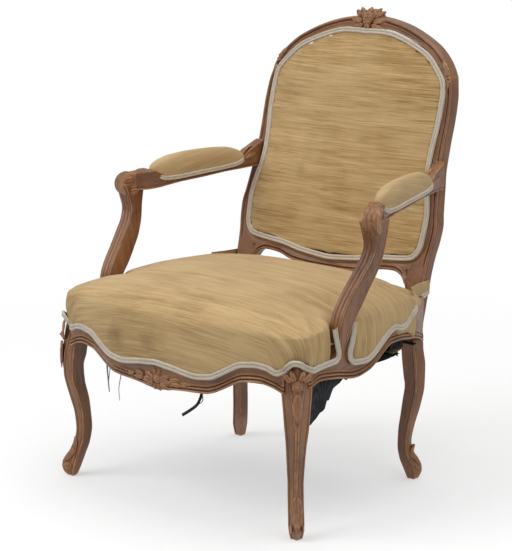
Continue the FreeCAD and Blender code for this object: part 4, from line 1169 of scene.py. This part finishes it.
# The cover's tail that wraps the outer side of each rear post
def post_wrap():
    path = through([(277, 118, 0), (270, 140, 0), (264.5, 162, 0), (262, 184, 0), (259, 200, 0),
                    (250, 207, 0), (236, 209, 0)], 40)
    way = heading(path)
    outward = unit(joined(-way[:, 1], way[:, 0], np.zeros(40)))
    outward *= np.sign(outward[5, 0])
    low = read(path[:, 1], [118, 160, 199, 209], [382, 388, 396, 398])
    rows = []
    for share, puff in ((0, 0.0), (0.1, 1.2), (0.3, 2.4), (0.55, 2.8), (0.8, 2.0), (0.93, 0.6), (1.0, -1.6)):
        level = low + (426 - low) * share
        rows.append(joined(path[:, :2] + outward[:, :2] * (puff + 0.3), level))
    return grid(np.array(rows))


for name, part in both_sides("seat_cover_tail", post_wrap()):
    make(name, part, SEAT, sharp=0, weave=seat_weave)


# Springs as double-cone coils, and what hangs under the seat
def spring(x, y, low=303.0, high=371.0, turns=5.2):
    count = int(turns * 22)
    turn = np.linspace(0, turns * 2 * math.pi, count)
    share = np.linspace(0, 1, count)
    radius = 33 - 12 * np.sin(math.pi * share) ** 0.9
    path = joined(x + radius * np.cos(turn), y + radius * np.sin(turn), low + (high - low) * share)
    return tube(path, 1.9, 6)


WIRE = old_wire("spring_wire_dark")
coils = [spring(column * 150, line * 150 - 75) for column in (-1, 0, 1) for line in (-1, 0, 1)]
springs = make("seat_spring_coils", together(*coils), WIRE, sharp=0)
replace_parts(springs, "seat_springs")

BLACK = plain_cloth("black_dust_cloth", (0.012, 0.013, 0.015), (0.075, 0.08, 0.085), 300.0)


def under_sheet():
    """The dust cover, tacked under the rails and torn away at its right front corner."""
    across, deep = 64, 52
    verts, faces = [], []
    for row in range(deep + 1):
        y = -312 + (164 + 312) * row / deep
        half = min(float(plan_side(y)) - 14, 308) if y > -300 else 296
        for column in range(across + 1):
            share = column / across * 2 - 1
            x = share * half
            front = float(plan_front(x)) + 18
            sag = 5.0 * (1 - share ** 2) * math.sin(math.pi * row / deep)
            sag += 1.4 * math.sin(x * 0.05 + y * 0.031) * math.sin(y * 0.043)
            verts.append((x, max(y, front), 297.4 - sag))
    for row in range(deep):
        for column in range(across):
            x = (column + 0.5) / across * 2 - 1
            y = -312 + 476 * (row + 0.5) / deep
            torn = (x > 0.62 + 0.05 * math.sin(row * 1.7)) and (-270 < y < -95 + 10 * math.sin(column * 2.1))
            loose = x > 0.66 + 0.06 * math.sin(row * 2.3) and 70 < y < 150
            if not torn and not loose:
                a = row * (across + 1) + column
                faces.append((a, a + 1, a + across + 2, a + across + 1))
    return np.array(verts), faces


def torn_flap(top, bottom, wave, rows=26, columns=30):
    """A hanging tatter between an upper and a lower line, creased down its length."""
    upper, lower = through(top, columns), through(bottom, columns)
    share = np.linspace(0, 1, rows)[:, None, None]
    points = upper[None] * (1 - share) + lower[None] * share
    crease = np.sin(np.linspace(0, 5.5 * math.pi, columns))[None, :] * np.linspace(0.2, 1, rows)[:, None]
    points[:, :, 0] += wave * crease
    points[:, :, 1] += wave * 0.4 * np.cos(2.3 * crease + points[:, :, 2] * 0.05)
    ragged = 3.0 * np.sin(np.arange(columns) * 1.9) + 2.0 * np.sin(np.arange(columns) * 3.7)
    points[:, :, 2] += ragged[None, :] * np.linspace(0, 1, rows)[:, None] ** 3
    return grid(points)


FRONT_FLAP = torn_flap(
    [(300, -262, 300), (302, -215, 298), (303, -165, 297), (303, -110, 297), (302, -60, 300)],
    [(300, -260, 262), (300, -243, 222), (301, -225, 212), (302, -150, 277), (302, -62, 298)], 4.0)
REAR_FLAP = torn_flap([(268, 62, 326), (262, 84, 330), (256, 108, 332), (250, 132, 330)],
                      [(276, 50, 296), (270, 72, 288), (262, 96, 292), (252, 126, 306)], 5.0)
UNDER_SHEET = under_sheet()
cloth = make("dust_cover_sheet", UNDER_SHEET, BLACK, sharp=0)
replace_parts(cloth, "dust_cover")
for name, part, flat in (("dust_cover_front_tatter", FRONT_FLAP, (0.22, 0.09)),
                         ("dust_cover_rear_tatter", REAR_FLAP, (0.09, 0.05))):
    tatter = make(name, part, BLACK, sharp=0)


def tape():
    """A narrow loose ribbon, a flat lozenge in section."""
    path = through([(92, -306, 274), (92, -312, 258), (90, -316, 245), (82, -317, 232), (64, -318, 218),
                    (44, -318, 205)], 50)
    tangent = heading(path)
    outward = squared(np.tile([0.25, -1, 0.2], (50, 1)), tangent)
    across = np.cross(tangent, outward)
    section = ((-3.2, 0), (0, 0.8), (3.2, 0), (0, -0.8))
    return capped(np.stack([path + across * aside + outward * ahead for aside, ahead in section], 1))


def thread(points, radius):
    return tube(through(points, 40), np.linspace(radius, radius * 0.5, 40), 6)


make("hanging_tape", together(tape(), thread([(91, -312, 260), (98, -316, 246), (93, -318, 238),
                                              (86, -317, 236)], 1.3)), BLACK, sharp=0)
LINT = plain_cloth("grey_thread", (0.20, 0.20, 0.20), (0.42, 0.42, 0.41), 500.0)
make("hanging_threads", together(
    thread([(-176, -300, 298), (-178, -306, 270), (-174, -308, 240), (-171, -308, 212)], 2.2),
    thread([(-172, -300, 298), (-170, -306, 262), (-173, -308, 232)], 1.4),
    thread([(-143, -298, 290), (-140, -304, 255), (-145, -306, 225), (-143, -306, 198)], 1.3)),
    LINT, sharp=0)


# Floor, light and the white surroundings
def surroundings():
    paper = Nodes(bpy.data.materials.new("floor_paper"))
    place = paper.place()
    rays = paper.add("LightPath").outputs
    seen = paper.math("MAXIMUM", rays["Is Camera Ray"], rays["Is Glossy Ray"])
    pale = paper.ramp(paper.noise(place, 30.0), (0.3, 0.60), (0.7, 0.62))
    matt = paper.add("BsdfDiffuse", Color=pale).outputs[0]
    white = (1.0, 1.0, 1.0, 1.0)
    glow = paper.add("Emission", Color=white, Strength=paper.math("MULTIPLY", seen, 0.42)).outputs[0]
    near = paper.fed("AddShader", {}, matt, glow)
    distant = paper.add("Emission", Color=white, Strength=seen).outputs[0]
    distance = paper.fed("VectorMath", {"operation": "LENGTH"}, place, out=1)
    far = paper.ramp(paper.math("MULTIPLY", distance, 0.1), (0.085, 0.0), (0.19, 1.0))
    paper.add("OutputMaterial", Surface=paper.fed("MixShader", {}, far, near, distant))
    mesh = bpy.data.meshes.new("floor")
    mesh.from_pydata([(-20, -20, 0), (20, -20, 0), (20, 20, 0), (-20, 20, 0)], [], [(0, 1, 2, 3)])
    mesh.materials.append(paper.owner)
    floor = link(bpy.data.objects.new("floor", mesh))
    world = bpy.data.worlds.new("studio")
    bpy.context.scene.world = world
    studio = Nodes(world)
    rays = studio.add("LightPath").outputs
    seen = studio.math("MAXIMUM", rays["Is Camera Ray"], rays["Is Transmission Ray"])
    strength = studio.math("ADD", studio.math("MULTIPLY", seen, 0.45), 0.55)
    sky = studio.add("Background", Color=white, Strength=strength).outputs[0]
    studio.add("OutputWorld", Surface=sky)
    for name, place, aim, size, power in (("key", (-1.6, -2.6, 2.9), (0, 0, 0.5), 2.4, 62),
                                          ("fill", (3.4, -0.8, 1.7), (0, 0, 0.5), 2.2, 22),
                                          ("top", (0.3, 0.6, 3.4), (0, 0, 0.4), 2.6, 30)):
        lamp = bpy.data.lights.new(name, "AREA")
        lamp.size = size
        lamp.energy = power
        holder = link(bpy.data.objects.new(name, lamp))
        holder.location = place
        holder.rotation_euler = (Vector(aim) - Vector(place)).to_track_quat("-Z", "Y").to_euler()


surroundings()
JUTE = plain_cloth("jute_webbing", (0.20, 0.13, 0.06), (0.42, 0.30, 0.16), 160.0)
HESSIAN = plain_cloth("hessian_canvas", (0.24, 0.17, 0.09), (0.50, 0.39, 0.24), 220.0)
NODE_LOOKS = {"back_seat_rail": WOOD[0], "corner_blocks": WOOD[0], "back_webbing": JUTE,
              "seat_webbing_across": JUTE, "seat_webbing_lengthwise": JUTE, "spring_canvas": HESSIAN}
for name, material in NODE_LOOKS.items():
    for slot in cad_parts[name].material_slots:
        slot.material = material
